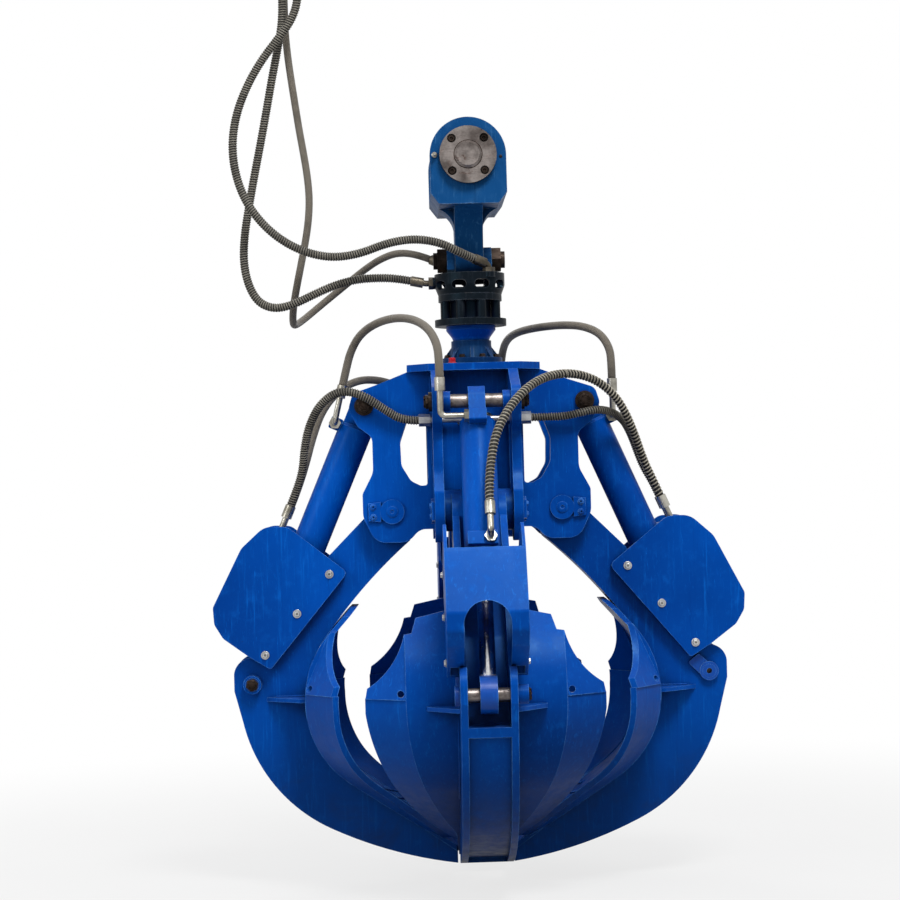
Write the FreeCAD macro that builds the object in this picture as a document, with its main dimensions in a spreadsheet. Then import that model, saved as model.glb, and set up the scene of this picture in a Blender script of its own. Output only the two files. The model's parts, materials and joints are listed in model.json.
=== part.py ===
import FreeCAD, Part
import math
import os
import re
from types import SimpleNamespace

# Orange peel grapple for an excavator, closed, in millimetres.
# Origin: centre of the stick pin. +Z up, the stick pin lies along Y, a tine points along each of
# +X (right), -Y (front), -X (left) and +Y (back). Tines and cylinders are drawn in the XZ plane of
# the right tine and turned about Z for the other three.

# The sizes that can be set by themselves
SIZES = {
    # Stick hanger
    "stick_pin_radius": 40,
    "stick_gap": 320,
    "cheek_thickness": 28,
    "cheek_half_width": 112,
    "cheek_drop": 109,
    "hanger_floor": 32,
    "ring_radius": 83.5,
    "ring_thickness": 20,
    "ring_bolt_circle": 67,
    "ring_bolt_head": 13,
    "pin_end_stick_out": 8,
    "tongue_width": 84,
    "tongue_eye_radius": 56,
    # Cross pin and rotator
    "cross_pin_drop": 290,
    "cross_pin_radius": 25,
    "ear_thickness": 24,
    "ear_radius": 38,
    "bracket_top_radius": 105,
    "bracket_foot_radius": 95,
    "bracket_top_drop": 332,
    "bracket_foot_drop": 394,
    "bracket_wall": 16,
    "rotator_flange": 20,
    "rotator_body_radius": 66,
    "rotator_height": 94,
    "rotator_foot_radius": 107,
    "tie_bolt_circle": 81,
    "tie_bolt_radius": 14,
    "tie_bolt_count": 8,
    "shaft_radius": 40,
    "shaft_head_radius": 54,
    "bowl_top_radius": 74,
    "bowl_foot_radius": 54,
    "bowl_height": 44,
    # Stool and top plate
    "stool_neck_radius": 60,
    "stool_flange_radius": 92,
    "stool_flange": 22,
    "stool_height": 74,
    "top_plate_half": 196,
    "top_plate_chamfer": 62,
    "top_plate_thickness": 21,
    # Frame
    "frame_width": 254,
    "frame_plate": 28,
    "cylinder_pin_out": 325.5,
    "cylinder_pin_drop": 723,
    "pivot_out": 250.5,
    "pivot_drop": 1036,
    "pivot_pin_radius": 32,
    "cylinder_pin_radius": 20,
    "pin_collar": 10,
    # Tine
    "rod_pin_out": 677,
    "rod_pin_drop": 1535,
    "rod_pin_radius": 20,
    "spine_width": 156,
    "spine_plate": 20,
    "spine_web": 22,
    "pivot_boss_radius": 60,
    "lug_radius": 55,
    "shell_thickness": 14,
    "shell_radius": 303,
    "shell_half_width": 340,
    "shell_fold_half": 225,
    "shell_fold_slope": 35.5,
    "relief_hole_radius": 9.5,
    "rib_length": 90,
    "rib_thickness": 12,
    # Rod guard
    "guard_width": 222,
    "guard_plate": 9,
    "guard_arch_width": 128,
    # Cylinder
    "barrel_radius": 51,
    "bore_radius": 40,
    "barrel_start": 62,
    "barrel_end": 525,
    "gland_length": 25,
    "gland_spigot": 40,
    "rod_radius": 22.5,
    "rod_eye_radius": 52,
    "eye_width": 48,
    "base_eye_radius": 42,
    "piston_length": 35,
    "piston_top": 335,
    "rod_eye_slack": 16.8,
    # Hoses
    "hose_radius": 12,
    "guard_radius": 13,
    "nut_radius": 18.4,
    "ferrule_radius": 15,
    "pipe_radius": 9,
    # Clearances
    "running_clearance": 0.05,
    "face_gap": 0.3,
    "side_gap": 1,
}

doc = FreeCAD.newDocument("orange_peel_grapple")
sheet = doc.addObject("Spreadsheet::Sheet", "Sizes")
for row, (alias, value) in enumerate(SIZES.items(), start=1):
    sheet.set(f"A{row}", alias)
    sheet.set(f"B{row}", str(value))
    sheet.setAlias(f"B{row}", alias)
doc.recompute()
size = SimpleNamespace(**{alias: float(sheet.get(alias)) for alias in SIZES})

QUARTERS = {"right": 0, "back": 90, "left": 180, "front": 270}
V = FreeCAD.Vector
UP = V(0, 0, 1)

cylinder_pin = V(size.cylinder_pin_out, 0, -size.cylinder_pin_drop)
pivot = V(size.pivot_out, 0, -size.pivot_drop)
rod_pin = V(size.rod_pin_out, 0, -size.rod_pin_drop)
closed_length = (rod_pin - cylinder_pin).Length
lean = math.degrees(math.atan2(rod_pin.x - cylinder_pin.x, cylinder_pin.z - rod_pin.z))

subparts = {}


def keep(label, shape_object):
    """Name a finished sub-part."""
    shape_object.Label = label
    subparts[label] = shape_object
    return shape_object


def bind(item, **properties):
    """Bind properties of an object to cells of the sheet, given as words."""
    for name, expression in properties.items():
        item.setExpression(name, re.sub(r"[a-z][a-z_]+", r"Sizes.\g<0>", expression))
    return item


# Outlines


def rounded(corners):
    """Closed outline through corners (x, y) or (x, y, radius), with tangent arcs at the radii."""
    starts, ends, arcs = [], [], []
    count = len(corners)
    for index, corner in enumerate(corners):
        here = V(corner[0], corner[1], 0)
        before = V(*corners[index - 1][:2], 0) - here
        after = V(*corners[(index + 1) % count][:2], 0) - here
        radius = corner[2] if len(corner) > 2 else 0
        if radius == 0:
            starts.append(here)
            ends.append(here)
            arcs.append(None)
            continue
        half = before.getAngle(after) / 2
        before.normalize()
        after.normalize()
        reach = radius / math.tan(half)
        toward = (before + after).normalize()
        starts.append(here + before * reach)
        ends.append(here + after * reach)
        middle = here + toward * (radius / math.sin(half) - radius)
        arcs.append(Part.Arc(starts[-1], middle, ends[-1]))
    outline = []
    for index in range(count):
        if arcs[index] is not None:
            outline.append(arcs[index])
        finish = starts[(index + 1) % count]
        if (finish - ends[index]).Length > 1e-6:
            outline.append(Part.LineSegment(ends[index], finish))
    return outline


def chain(*stretches):
    """Outline of stretches: two points are a line, three are an arc through the middle one."""
    outline = []
    for stretch in stretches:
        points = [V(x, y, 0) for x, y in stretch]
        if len(points) == 2:
            outline.append(Part.LineSegment(*points))
        else:
            outline.append(Part.Arc(*points))
    return outline


def circle(x, y, radius):
    """Full circle in a sketch."""
    return Part.Circle(V(x, y, 0), UP, radius)


# Solid features


def new_body(name):
    return doc.addObject("PartDesign::Body", name)


def sketch(body, plane, outline, offset=0, name="outline"):
    """Sketch on a plane of the body's origin, shifted along the plane's normal."""
    drawing = body.newObject("Sketcher::SketchObject", name)
    origin_plane = [item for item in body.Origin.OriginFeatures if item.Role == plane + "_Plane"][0]
    drawing.AttachmentSupport = [(origin_plane, "")]
    drawing.MapMode = "FlatFace"
    drawing.AttachmentOffset = FreeCAD.Placement(V(0, 0, offset), FreeCAD.Rotation())
    drawing.addGeometry(outline, False)
    return drawing


def feature(kind, body, drawing, length, middle=True, reverse=False):
    """Pad or pocket of a sketch by a length given as an expression."""
    item = body.newObject("PartDesign::" + kind, kind.lower())
    item.Profile = drawing
    item.SideType = "Symmetric" if middle else "One side"
    item.Reversed = reverse
    bind(item, Length=length)
    drawing.Visibility = False
    return item


def pad(body, plane, outline, length, **places):
    offset = places.pop("offset", 0)
    return feature("Pad", body, sketch(body, plane, outline, offset), length, **places)


def pocket(body, plane, outline, length, **places):
    offset = places.pop("offset", 0)
    return feature("Pocket", body, sketch(body, plane, outline, offset), length, **places)


def turn(kind, body, outline):
    """Revolution or groove of an outline in the XZ plane about the Z axis."""
    drawing = sketch(body, "XZ", outline)
    item = body.newObject("PartDesign::" + kind, kind.lower())
    item.Profile = drawing
    item.ReferenceAxis = (drawing, ["V_Axis"])
    item.Angle = 360
    drawing.Visibility = False
    return item


def placed(name, master, placement):
    """Copy of a piece at another place."""
    copy = doc.addObject("Part::Compound", name)
    copy.Links = [master]
    copy.Placement = placement
    return copy


def quarter_turn(angle):
    return FreeCAD.Placement(V(0, 0, 0), FreeCAD.Rotation(UP, angle))


def four(label, master):
    """The right-hand piece and its copies at the back, left and front."""
    keep(f"right_{label}", master)
    for side, angle in QUARTERS.items():
        if side != "right":
            keep(f"{side}_{label}", placed(f"{side}_{label}", master, quarter_turn(angle)))


def group(label, pieces):
    """Separate solids that share one node."""
    together = doc.addObject("Part::Compound", label)
    together.Links = pieces
    return keep(label, together)


def spun(label, master, angles):
    """One node of equal pieces turned about the vertical axis."""
    copies = [placed(f"{label}_{angle}", master, quarter_turn(angle)) for angle in angles]
    return group(label, copies)


def around(count, radius, start=0):
    """Centres evenly spaced on a circle."""
    steps = [math.radians(start + 360 * index / count) for index in range(count)]
    return [(radius * math.cos(step), radius * math.sin(step)) for step in steps]


def box_outline(low_x, low_y, high_x, high_y, radius=0):
    corners = [(low_x, low_y), (high_x, low_y), (high_x, high_y), (low_x, high_y)]
    return rounded([(x, y, radius) for x, y in corners])


def mirrored(half):
    """Corners of a right half, top to bottom, completed with their mirror image."""
    other = [(-corner[0], *corner[1:]) for corner in reversed(half)]
    return half + other


LONG = "4 * rod_pin_out"


# Stick hanger

floor_top = -size.cheek_drop
floor_foot = -(size.cheek_drop + size.hanger_floor)
cheek_face = size.stick_gap / 2 + size.cheek_thickness
cross_drop = size.cross_pin_drop


def make_hanger():
    body = new_body("hanger")
    wide = size.cheek_half_width
    bevel = 24
    outline = chain(
        [(-wide, 0), (0, wide), (wide, 0)],
        [(wide, 0), (wide, floor_top)],
        [(wide, floor_top), (wide - bevel, floor_foot)],
        [(wide - bevel, floor_foot), (bevel - wide, floor_foot)],
        [(bevel - wide, floor_foot), (-wide, floor_top)],
        [(-wide, floor_top), (-wide, 0)],
    )
    pad(body, "XZ", outline, "stick_gap + 2 * cheek_thickness")
    pocket(body, "XZ", box_outline(-2 * wide, floor_top, 2 * wide, 2 * wide), "stick_gap")
    # The tongue narrows to its eye across the stick, and flares where it joins the floor
    eye = size.tongue_eye_radius
    root = floor_top - 10
    tongue = chain(
        [(eye, -cross_drop), (0, -cross_drop - eye), (-eye, -cross_drop)],
        [(-eye, -cross_drop), (-1.35 * eye, -0.72 * cross_drop), (-2.6 * eye, floor_foot)],
        [(-2.6 * eye, floor_foot), (-2.6 * eye, root)],
        [(-2.6 * eye, root), (2.6 * eye, root)],
        [(2.6 * eye, root), (2.6 * eye, floor_foot)],
        [(2.6 * eye, floor_foot), (1.35 * eye, -0.72 * cross_drop), (eye, -cross_drop)],
    )
    pad(body, "YZ", tongue, "tongue_width")
    half = size.tongue_width / 2
    flare_foot = floor_foot - 70
    flare = chain(
        [(half, flare_foot), (half + 12, floor_foot - 26), (half + 46, floor_foot)],
        [(half + 46, floor_foot), (-half - 46, floor_foot)],
        [(-half - 46, floor_foot), (-half - 12, floor_foot - 26), (-half, flare_foot)],
        [(-half, flare_foot), (half, flare_foot)],
    )
    pad(body, "XZ", flare, "2 * tongue_eye_radius")
    pocket(body, "XZ", [circle(0, 0, size.stick_pin_radius + size.running_clearance)], LONG)
    bore = size.cross_pin_radius + size.running_clearance
    pocket(body, "YZ", [circle(0, -cross_drop, bore)], LONG)
    keep("hanger_yoke", body)


def make_stick_pin():
    body = new_body("stick_pin")
    length = "stick_gap + 2 * (cheek_thickness + ring_thickness + pin_end_stick_out)"
    shaft = pad(body, "XZ", [circle(0, 0, size.stick_pin_radius)], length)
    doc.recompute()
    chamfer = body.newObject("PartDesign::Chamfer", "chamfer")
    chamfer.Base = (shaft, round_edges(shaft))
    chamfer.Size = size.pin_end_stick_out - 1
    keep("stick_pin", body)
    # Bolted rings that keep the pin in the cheeks
    ring = new_body("ring")
    outline = [circle(0, 0, size.ring_radius)]
    outline.append(circle(0, 0, size.stick_pin_radius + size.running_clearance))
    pad(ring, "XZ", outline, "ring_thickness", middle=False, offset=cheek_face)
    for x, z in around(4, size.ring_bolt_circle, start=45):
        head = [circle(x, z, size.ring_bolt_head)]
        at = cheek_face + size.ring_thickness
        pocket(ring, "XZ", head, "ring_thickness / 2", middle=False, offset=at)
    spun("pin_retaining_rings", ring, (0, 180))


def round_edges(item):
    """Names of a feature's full-circle edges."""
    names = []
    for index, edge in enumerate(item.Shape.Edges, start=1):
        if isinstance(edge.Curve, Part.Circle) and edge.isClosed():
            names.append(f"Edge{index}")
    return names


# Rotator

ear_inside = size.tongue_width / 2 + size.side_gap
ear_outside = ear_inside + size.ear_thickness
bracket_top = -size.bracket_top_drop
bracket_foot = -size.bracket_foot_drop
rotator_foot = bracket_foot - size.rotator_height
bowl_top = rotator_foot - size.face_gap
bowl_foot = bowl_top - size.bowl_height
stool_foot = bowl_foot - size.stool_height
plate_foot = stool_foot - size.top_plate_thickness


def make_cross_pin():
    pin = new_body("cross_pin_shaft")
    stick_out = 40
    length = f"tongue_width + 2 * (side_gap + ear_thickness + {stick_out})"
    pad(pin, "YZ", [circle(0, -cross_drop, size.cross_pin_radius)], length)
    nut = new_body("cross_pin_nut")
    across = 1.36 * size.cross_pin_radius
    corners = [(x, z - cross_drop) for x, z in around(6, across / math.cos(math.pi / 6))]
    outline = rounded(corners)
    outline.append(circle(0, -cross_drop, size.cross_pin_radius + size.running_clearance))
    seat = ear_outside + size.face_gap
    pad(nut, "YZ", outline, "1.1 * cross_pin_radius", middle=False, offset=seat)
    other = placed("cross_pin_nut_left", nut, quarter_turn(180))
    group("cross_pin", [pin, nut, other])


def make_rotator_bracket():
    body = new_body("bracket")
    top, foot = size.bracket_top_radius, size.bracket_foot_radius
    wall = size.bracket_wall
    outline = rounded(
        [
            (0, bracket_foot),
            (foot, bracket_foot),
            (top, bracket_foot + 26, 20),
            (top, bracket_top),
            (top - wall, bracket_top),
            (top - wall, bracket_foot + wall + 4),
            (0, bracket_foot + wall + 4),
        ]
    )
    turn("Revolution", body, outline)
    ear = size.ear_radius
    floor = bracket_foot + wall
    profile = chain(
        [(ear, -cross_drop), (0, ear - cross_drop), (-ear, -cross_drop)],
        [(-ear, -cross_drop), (-1.5 * ear, floor)],
        [(-1.5 * ear, floor), (1.5 * ear, floor)],
        [(1.5 * ear, floor), (ear, -cross_drop)],
    )
    middle = (ear_inside + ear_outside) / 2
    for side in (-middle, middle):
        pad(body, "YZ", profile, "ear_thickness", offset=side)
    bore = size.cross_pin_radius + size.running_clearance
    pocket(body, "YZ", [circle(0, -cross_drop, bore)], LONG)
    # Oval windows through the wall of the cup, clear of the ears
    high = (bracket_top + bracket_foot) / 2 - 4
    for plane, out in (("XZ", 34), ("YZ", 52)):
        windows = []
        for x in (-out, out):
            windows += box_outline(x - 21, high - 13, x + 21, high + 13, 12.9)
        for side in (-88, 88):
            pocket(body, plane, windows, "bracket_top_radius - 65", offset=side)
    # Ports of the supply hoses
    for port, out in supply_ports():
        if out.z:
            boss = [circle(port.x, port.y, 18)]
            pad(body, "XY", boss, "bracket_wall", offset=port.z, middle=False, reverse=True)
        else:
            boss = [circle(port.y, port.z, 18)]
            pad(body, "YZ", boss, "bracket_wall", offset=port.x, middle=False)
    keep("rotator_bracket", body)


def make_rotator():
    body = new_body("housing")
    flange, height = size.rotator_flange, size.rotator_height
    bore = size.shaft_radius + size.running_clearance
    seat = bracket_foot - 0.4 * height
    outline = rounded(
        [
            (bore, rotator_foot),
            (size.rotator_foot_radius, rotator_foot),
            (size.rotator_foot_radius, rotator_foot + flange),
            (size.rotator_body_radius, rotator_foot + flange),
            (size.rotator_body_radius, bracket_foot - flange),
            (size.bracket_foot_radius, bracket_foot - flange),
            (size.bracket_foot_radius, bracket_foot),
            (size.shaft_head_radius + size.side_gap, bracket_foot),
            (size.shaft_head_radius + size.side_gap, seat),
            (bore, seat),
        ]
    )
    turn("Revolution", body, outline)
    keep("rotator_housing", body)
    # Tie bolts between the two flanges
    posts = new_body("tie_bolts")
    places = around(int(size.tie_bolt_count), size.tie_bolt_circle, start=22.5)
    circles = [circle(x, y, size.tie_bolt_radius) for x, y in places]
    gap = "rotator_height - 2 * rotator_flange"
    pad(posts, "XY", circles, gap, offset=rotator_foot + flange, middle=False)
    keep("tie_bolts", posts)
    # Output shaft with its retaining head and the bowl under the housing
    rotor = new_body("rotor")
    outline = rounded(
        [
            (0, bowl_foot),
            (size.bowl_foot_radius, bowl_foot),
            (size.bowl_foot_radius + 3, bowl_foot + 10, 20),
            (size.bowl_top_radius, bowl_top - 12),
            (size.bowl_top_radius, bowl_top),
            (size.shaft_radius, bowl_top),
            (size.shaft_radius, seat + size.face_gap),
            (size.shaft_head_radius, seat + size.face_gap),
            (size.shaft_head_radius, seat + size.rotator_flange),
            (0, seat + size.rotator_flange),
        ]
    )
    turn("Revolution", rotor, outline)
    keep("rotor", rotor)


def make_stool():
    body = new_body("stool")
    neck, flange = size.stool_neck_radius, size.stool_flange_radius
    flange_top = stool_foot + size.stool_flange
    outline = rounded(
        [
            (0, stool_foot),
            (flange, stool_foot),
            (flange, flange_top),
            (neck + 10, flange_top),
            (neck, bowl_foot - 16, 10),
            (neck, bowl_foot),
            (0, bowl_foot),
        ]
    )
    turn("Revolution", body, outline)
    rib = rounded([(neck - 8, flange_top - 1), (flange - 6, flange_top - 1), (neck - 8, bowl_foot - 8)])
    drawing = sketch(body, "XZ", rib)
    web = feature("Pad", body, drawing, "spine_plate / 2")
    doc.recompute()
    pattern = body.newObject("PartDesign::PolarPattern", "ribs")
    pattern.Originals = [web]
    pattern.Axis = (drawing, ["V_Axis"])
    pattern.Angle = 360
    pattern.Occurrences = 8
    body.Tip = pattern
    keep("stool", body)


# Frame

frame_face = size.frame_width / 2
frame_inside = frame_face - size.frame_plate
pipe_drop = size.cylinder_pin_drop + 47
pipe_out = frame_face + 23
pipe_hole = 20
pipe_side = 35


def arm_plate():
    """Outline of one of the four crossed plates, with its windows and holes."""
    pin_x, pin_z = cylinder_pin.x, cylinder_pin.z
    low = pivot.z
    half = [
        (198, plate_foot),
        (pin_x - 48, plate_foot - 31),
        (pin_x + 32, pin_z + 38, 28),
        (pin_x + 46, pin_z - 8, 30),
        (pin_x + 20, pin_z - 60, 30),
        (pin_x - 22, pin_z - 92, 30),
        (pin_x - 22, low + 116, 60),
        (pivot.x + 86, low + 54, 20),
        (pivot.x + 86, low - 14, 60),
        (pivot.x + 50, low - 91, 50),
        (pivot.x - 46, low - 91, 50),
        (pivot.x - 80, low - 54, 40),
    ]
    outline = rounded(mirrored(half))
    window = [
        (142, pin_z - 29, 15),
        (pin_x - 128, pin_z - 39, 25),
        (pin_x - 104, pin_z - 106, 40),
        (pin_x - 106, low + 135, 40),
        (pivot.x - 58, low + 89, 30),
        (pivot.x - 87, low + 74, 20),
        (142, low + 76, 8),
    ]
    for side in (-1, 1):
        outline += rounded([(side * x, z, radius) for x, z, radius in window])
        outline.append(circle(side * pin_x, pin_z, size.cylinder_pin_radius + size.running_clearance))
        outline.append(circle(side * pivot.x, low, size.pivot_pin_radius + size.running_clearance))
    return outline


def make_frame():
    body = new_body("frame")
    middle = frame_face - size.frame_plate / 2
    for plane in ("XZ", "YZ"):
        for side in (-middle, middle):
            pad(body, plane, arm_plate(), "frame_plate", offset=side)
    half, corner = size.top_plate_half, size.top_plate_chamfer
    octagon = []
    for x, y in ((1, 1), (-1, 1), (-1, -1), (1, -1)):
        ends = [(x * half, y * (half - corner)), (x * (half - corner), y * half)]
        octagon += ends if x * y > 0 else ends[::-1]
    pad(body, "XY", rounded(octagon), "top_plate_thickness", offset=plate_foot, middle=False)
    deck = box_outline(-frame_inside - 1, -frame_inside - 1, frame_inside + 1, frame_inside + 1)
    pad(body, "XY", deck, "spine_plate", offset=pivot.z - 54, middle=False)
    # Bosses inside the plates at the cylinder pins
    boss = size.cylinder_pin_radius + 9
    hole = size.cylinder_pin_radius + size.running_clearance
    for plane in ("XZ", "YZ"):
        for side in (-1, 1):
            for x in (-cylinder_pin.x, cylinder_pin.x):
                ring = [circle(x, cylinder_pin.z, boss), circle(x, cylinder_pin.z, hole)]
                pad(body, plane, ring, "24", offset=side * (frame_inside - 12))
    # Holes for the pipes of the oil manifold
    doors = [circle(x, -pipe_drop, pipe_hole) for x in (-pipe_side, pipe_side)]
    pocket(body, "XZ", doors, "2 * frame_plate", offset=frame_face)
    pocket(body, "YZ", [circle(-pipe_out, -pipe_drop, pipe_hole)], "frame_width + 10")
    keep("frame", body)


def make_manifold():
    """Oil manifold under the top plate, with the two pipes that leave the frame in front."""
    block = Part.makeBox(110, 110, 90, V(-55, -55, -pipe_drop - 45))
    column = Part.makeBox(90, 90, pipe_drop + plate_foot - 45 + 1, V(-45, -45, -pipe_drop + 44))
    shape = block.fuse(column)
    for side in (-1, 1):
        start = V(side * pipe_side, -50, -pipe_drop)
        bend = V(side * pipe_side, -pipe_out, -pipe_drop)
        end = V(side * (frame_face + 38), -pipe_out, -pipe_drop)
        shape = shape.fuse(tube([start, bend, end], 9, 14)[0])
        nut_at = V(side * (frame_face + 4), -pipe_out, -pipe_drop)
        shape = shape.fuse(hexagon(nut_at, V(side, 0, 0), size.nut_radius, 34))
    keep_shape("manifold", shape.removeSplitter())


def keep_shape(label, shape):
    item = doc.addObject("Part::Feature", label)
    item.Shape = shape
    return keep(label, item)


def make_frame_pins():
    pin = new_body("pivot_pin")
    pad(pin, "XZ", [circle(pivot.x, pivot.z, size.pivot_pin_radius)], "frame_width + 2 * face_gap")
    for side in (-1, 1):
        at = frame_face + size.face_gap + size.pin_collar / 2
        head = [circle(pivot.x, pivot.z, size.pivot_pin_radius + 4)]
        pad(pin, "XZ", head, "pin_collar", offset=side * at)
    spun("tine_pivot_pins", pin, QUARTERS.values())
    pin = new_body("cylinder_pin")
    outline = [circle(cylinder_pin.x, cylinder_pin.z, size.cylinder_pin_radius)]
    pad(pin, "XZ", outline, "frame_width + 2 * face_gap")
    for side in (-1, 1):
        at = frame_face + size.face_gap + size.pin_collar / 2
        head = [circle(cylinder_pin.x, cylinder_pin.z, size.cylinder_pin_radius + 8)]
        pad(pin, "XZ", head, "pin_collar", offset=side * at)
    spun("cylinder_pins", pin, QUARTERS.values())


# Tine

shell_centre = V(rod_pin.x - 462, 0, rod_pin.z - 48)
shell_end_angle = math.radians(-54.5)
end_normal = V(math.cos(shell_end_angle), 0, math.sin(shell_end_angle))
end_along = V(end_normal.z, 0, -end_normal.x)


def on_shell(angle, radius=None):
    """Point of the shell's outer line at an angle, in the XZ plane."""
    turned = math.radians(angle)
    reach = radius or size.shell_radius
    return shell_centre + V(math.cos(turned), 0, math.sin(turned)) * reach


def past_shell(distance, radius=None):
    """Point of the straight stretch below the shell's round part."""
    return shell_centre + end_normal * (radius or size.shell_radius) + end_along * distance


def flat(point):
    return (point.x, point.z)


fold_slope = math.radians(size.shell_fold_slope)
crease = shell_centre.z + 27
shell_foot = -2005
bend_step = 1.5


def arc_through(first, second, third):
    return Part.Arc(V(*first, 0), V(*second, 0), V(*third, 0))


fold_line = arc_through(
    (size.shell_fold_half, crease), (size.shell_fold_half - 30, crease - 214), (90, crease - 422)
)
free_edge = arc_through((size.shell_half_width, -1600), (size.shell_half_width - 90, -1840), (75, -2015))


def half_width_at(level, line):
    """Half width of a front-view arc at a level."""
    full = line.toShape().Curve
    centre, radius = full.Center, full.Radius
    return centre.x + math.sqrt(radius ** 2 - (level - centre.y) ** 2)


def shell_out(level):
    """Distance of the shell's outer surface from the grapple's axis, and its point, at a level."""
    round_end = (shell_centre + end_normal * size.shell_radius).z
    if level >= round_end:
        return shell_centre.x + math.sqrt(size.shell_radius ** 2 - (level - shell_centre.z) ** 2)
    start = past_shell(0, size.shell_radius)
    return start.x + (level - start.z) * end_along.x / end_along.z


def free_sketch(name, turned, outline):
    drawing = doc.addObject("Sketcher::SketchObject", name)
    drawing.Placement = FreeCAD.Placement(V(0, 0, 0), turned)
    drawing.addGeometry(outline, False)
    return drawing


def extrude(drawing, direction, forward, backward=None):
    item = doc.addObject("Part::Extrusion", drawing.Name + "_run")
    item.Base = drawing
    item.DirMode = "Custom"
    item.Dir = direction
    item.Solid = True
    bind(item, LengthFwd=forward)
    if backward:
        bind(item, LengthRev=backward)
    return item


def common(name, *pieces):
    item = doc.addObject("Part::MultiCommon", name)
    item.Shapes = list(pieces)
    return item


SIDE_VIEW = FreeCAD.Rotation(V(1, 0, 0), 90)
FRONT_VIEW = FreeCAD.Rotation(V(0, 1, 0), UP, V(1, 0, 0), "XYZ")


def band(outer, inner):
    """Closed outline between two lists of points, each run through by one smooth curve."""
    curves = []
    for points in (outer, inner):
        curve = Part.BSplineCurve()
        curve.interpolate([V(x, z, 0) for x, z in points])
        curves.append(curve)
    ends = [Part.LineSegment(V(*outer[side], 0), V(*inner[side], 0)) for side in (0, -1)]
    return [curves[0], ends[1], curves[1], ends[0]]


def facet_band(levels):
    """Profile, in the middle plane, of the bent side of the shell below the crease."""
    across, along = math.cos(fold_slope), math.tan(fold_slope)
    outer = [(shell_out(z) - bend_step + along * half_width_at(z, fold_line), z) for z in levels]
    inner = []
    for index, (x, z) in enumerate(outer):
        before, after = outer[max(index - 1, 0)], outer[min(index + 1, len(outer) - 1)]
        tangent = V(after[0] - before[0], 0, after[1] - before[1]).normalize()
        depth = size.shell_thickness * math.hypot(tangent.z, across * tangent.x) / across
        inner.append((x + tangent.z * depth, z - tangent.x * depth))
    return band(outer, inner)


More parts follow.
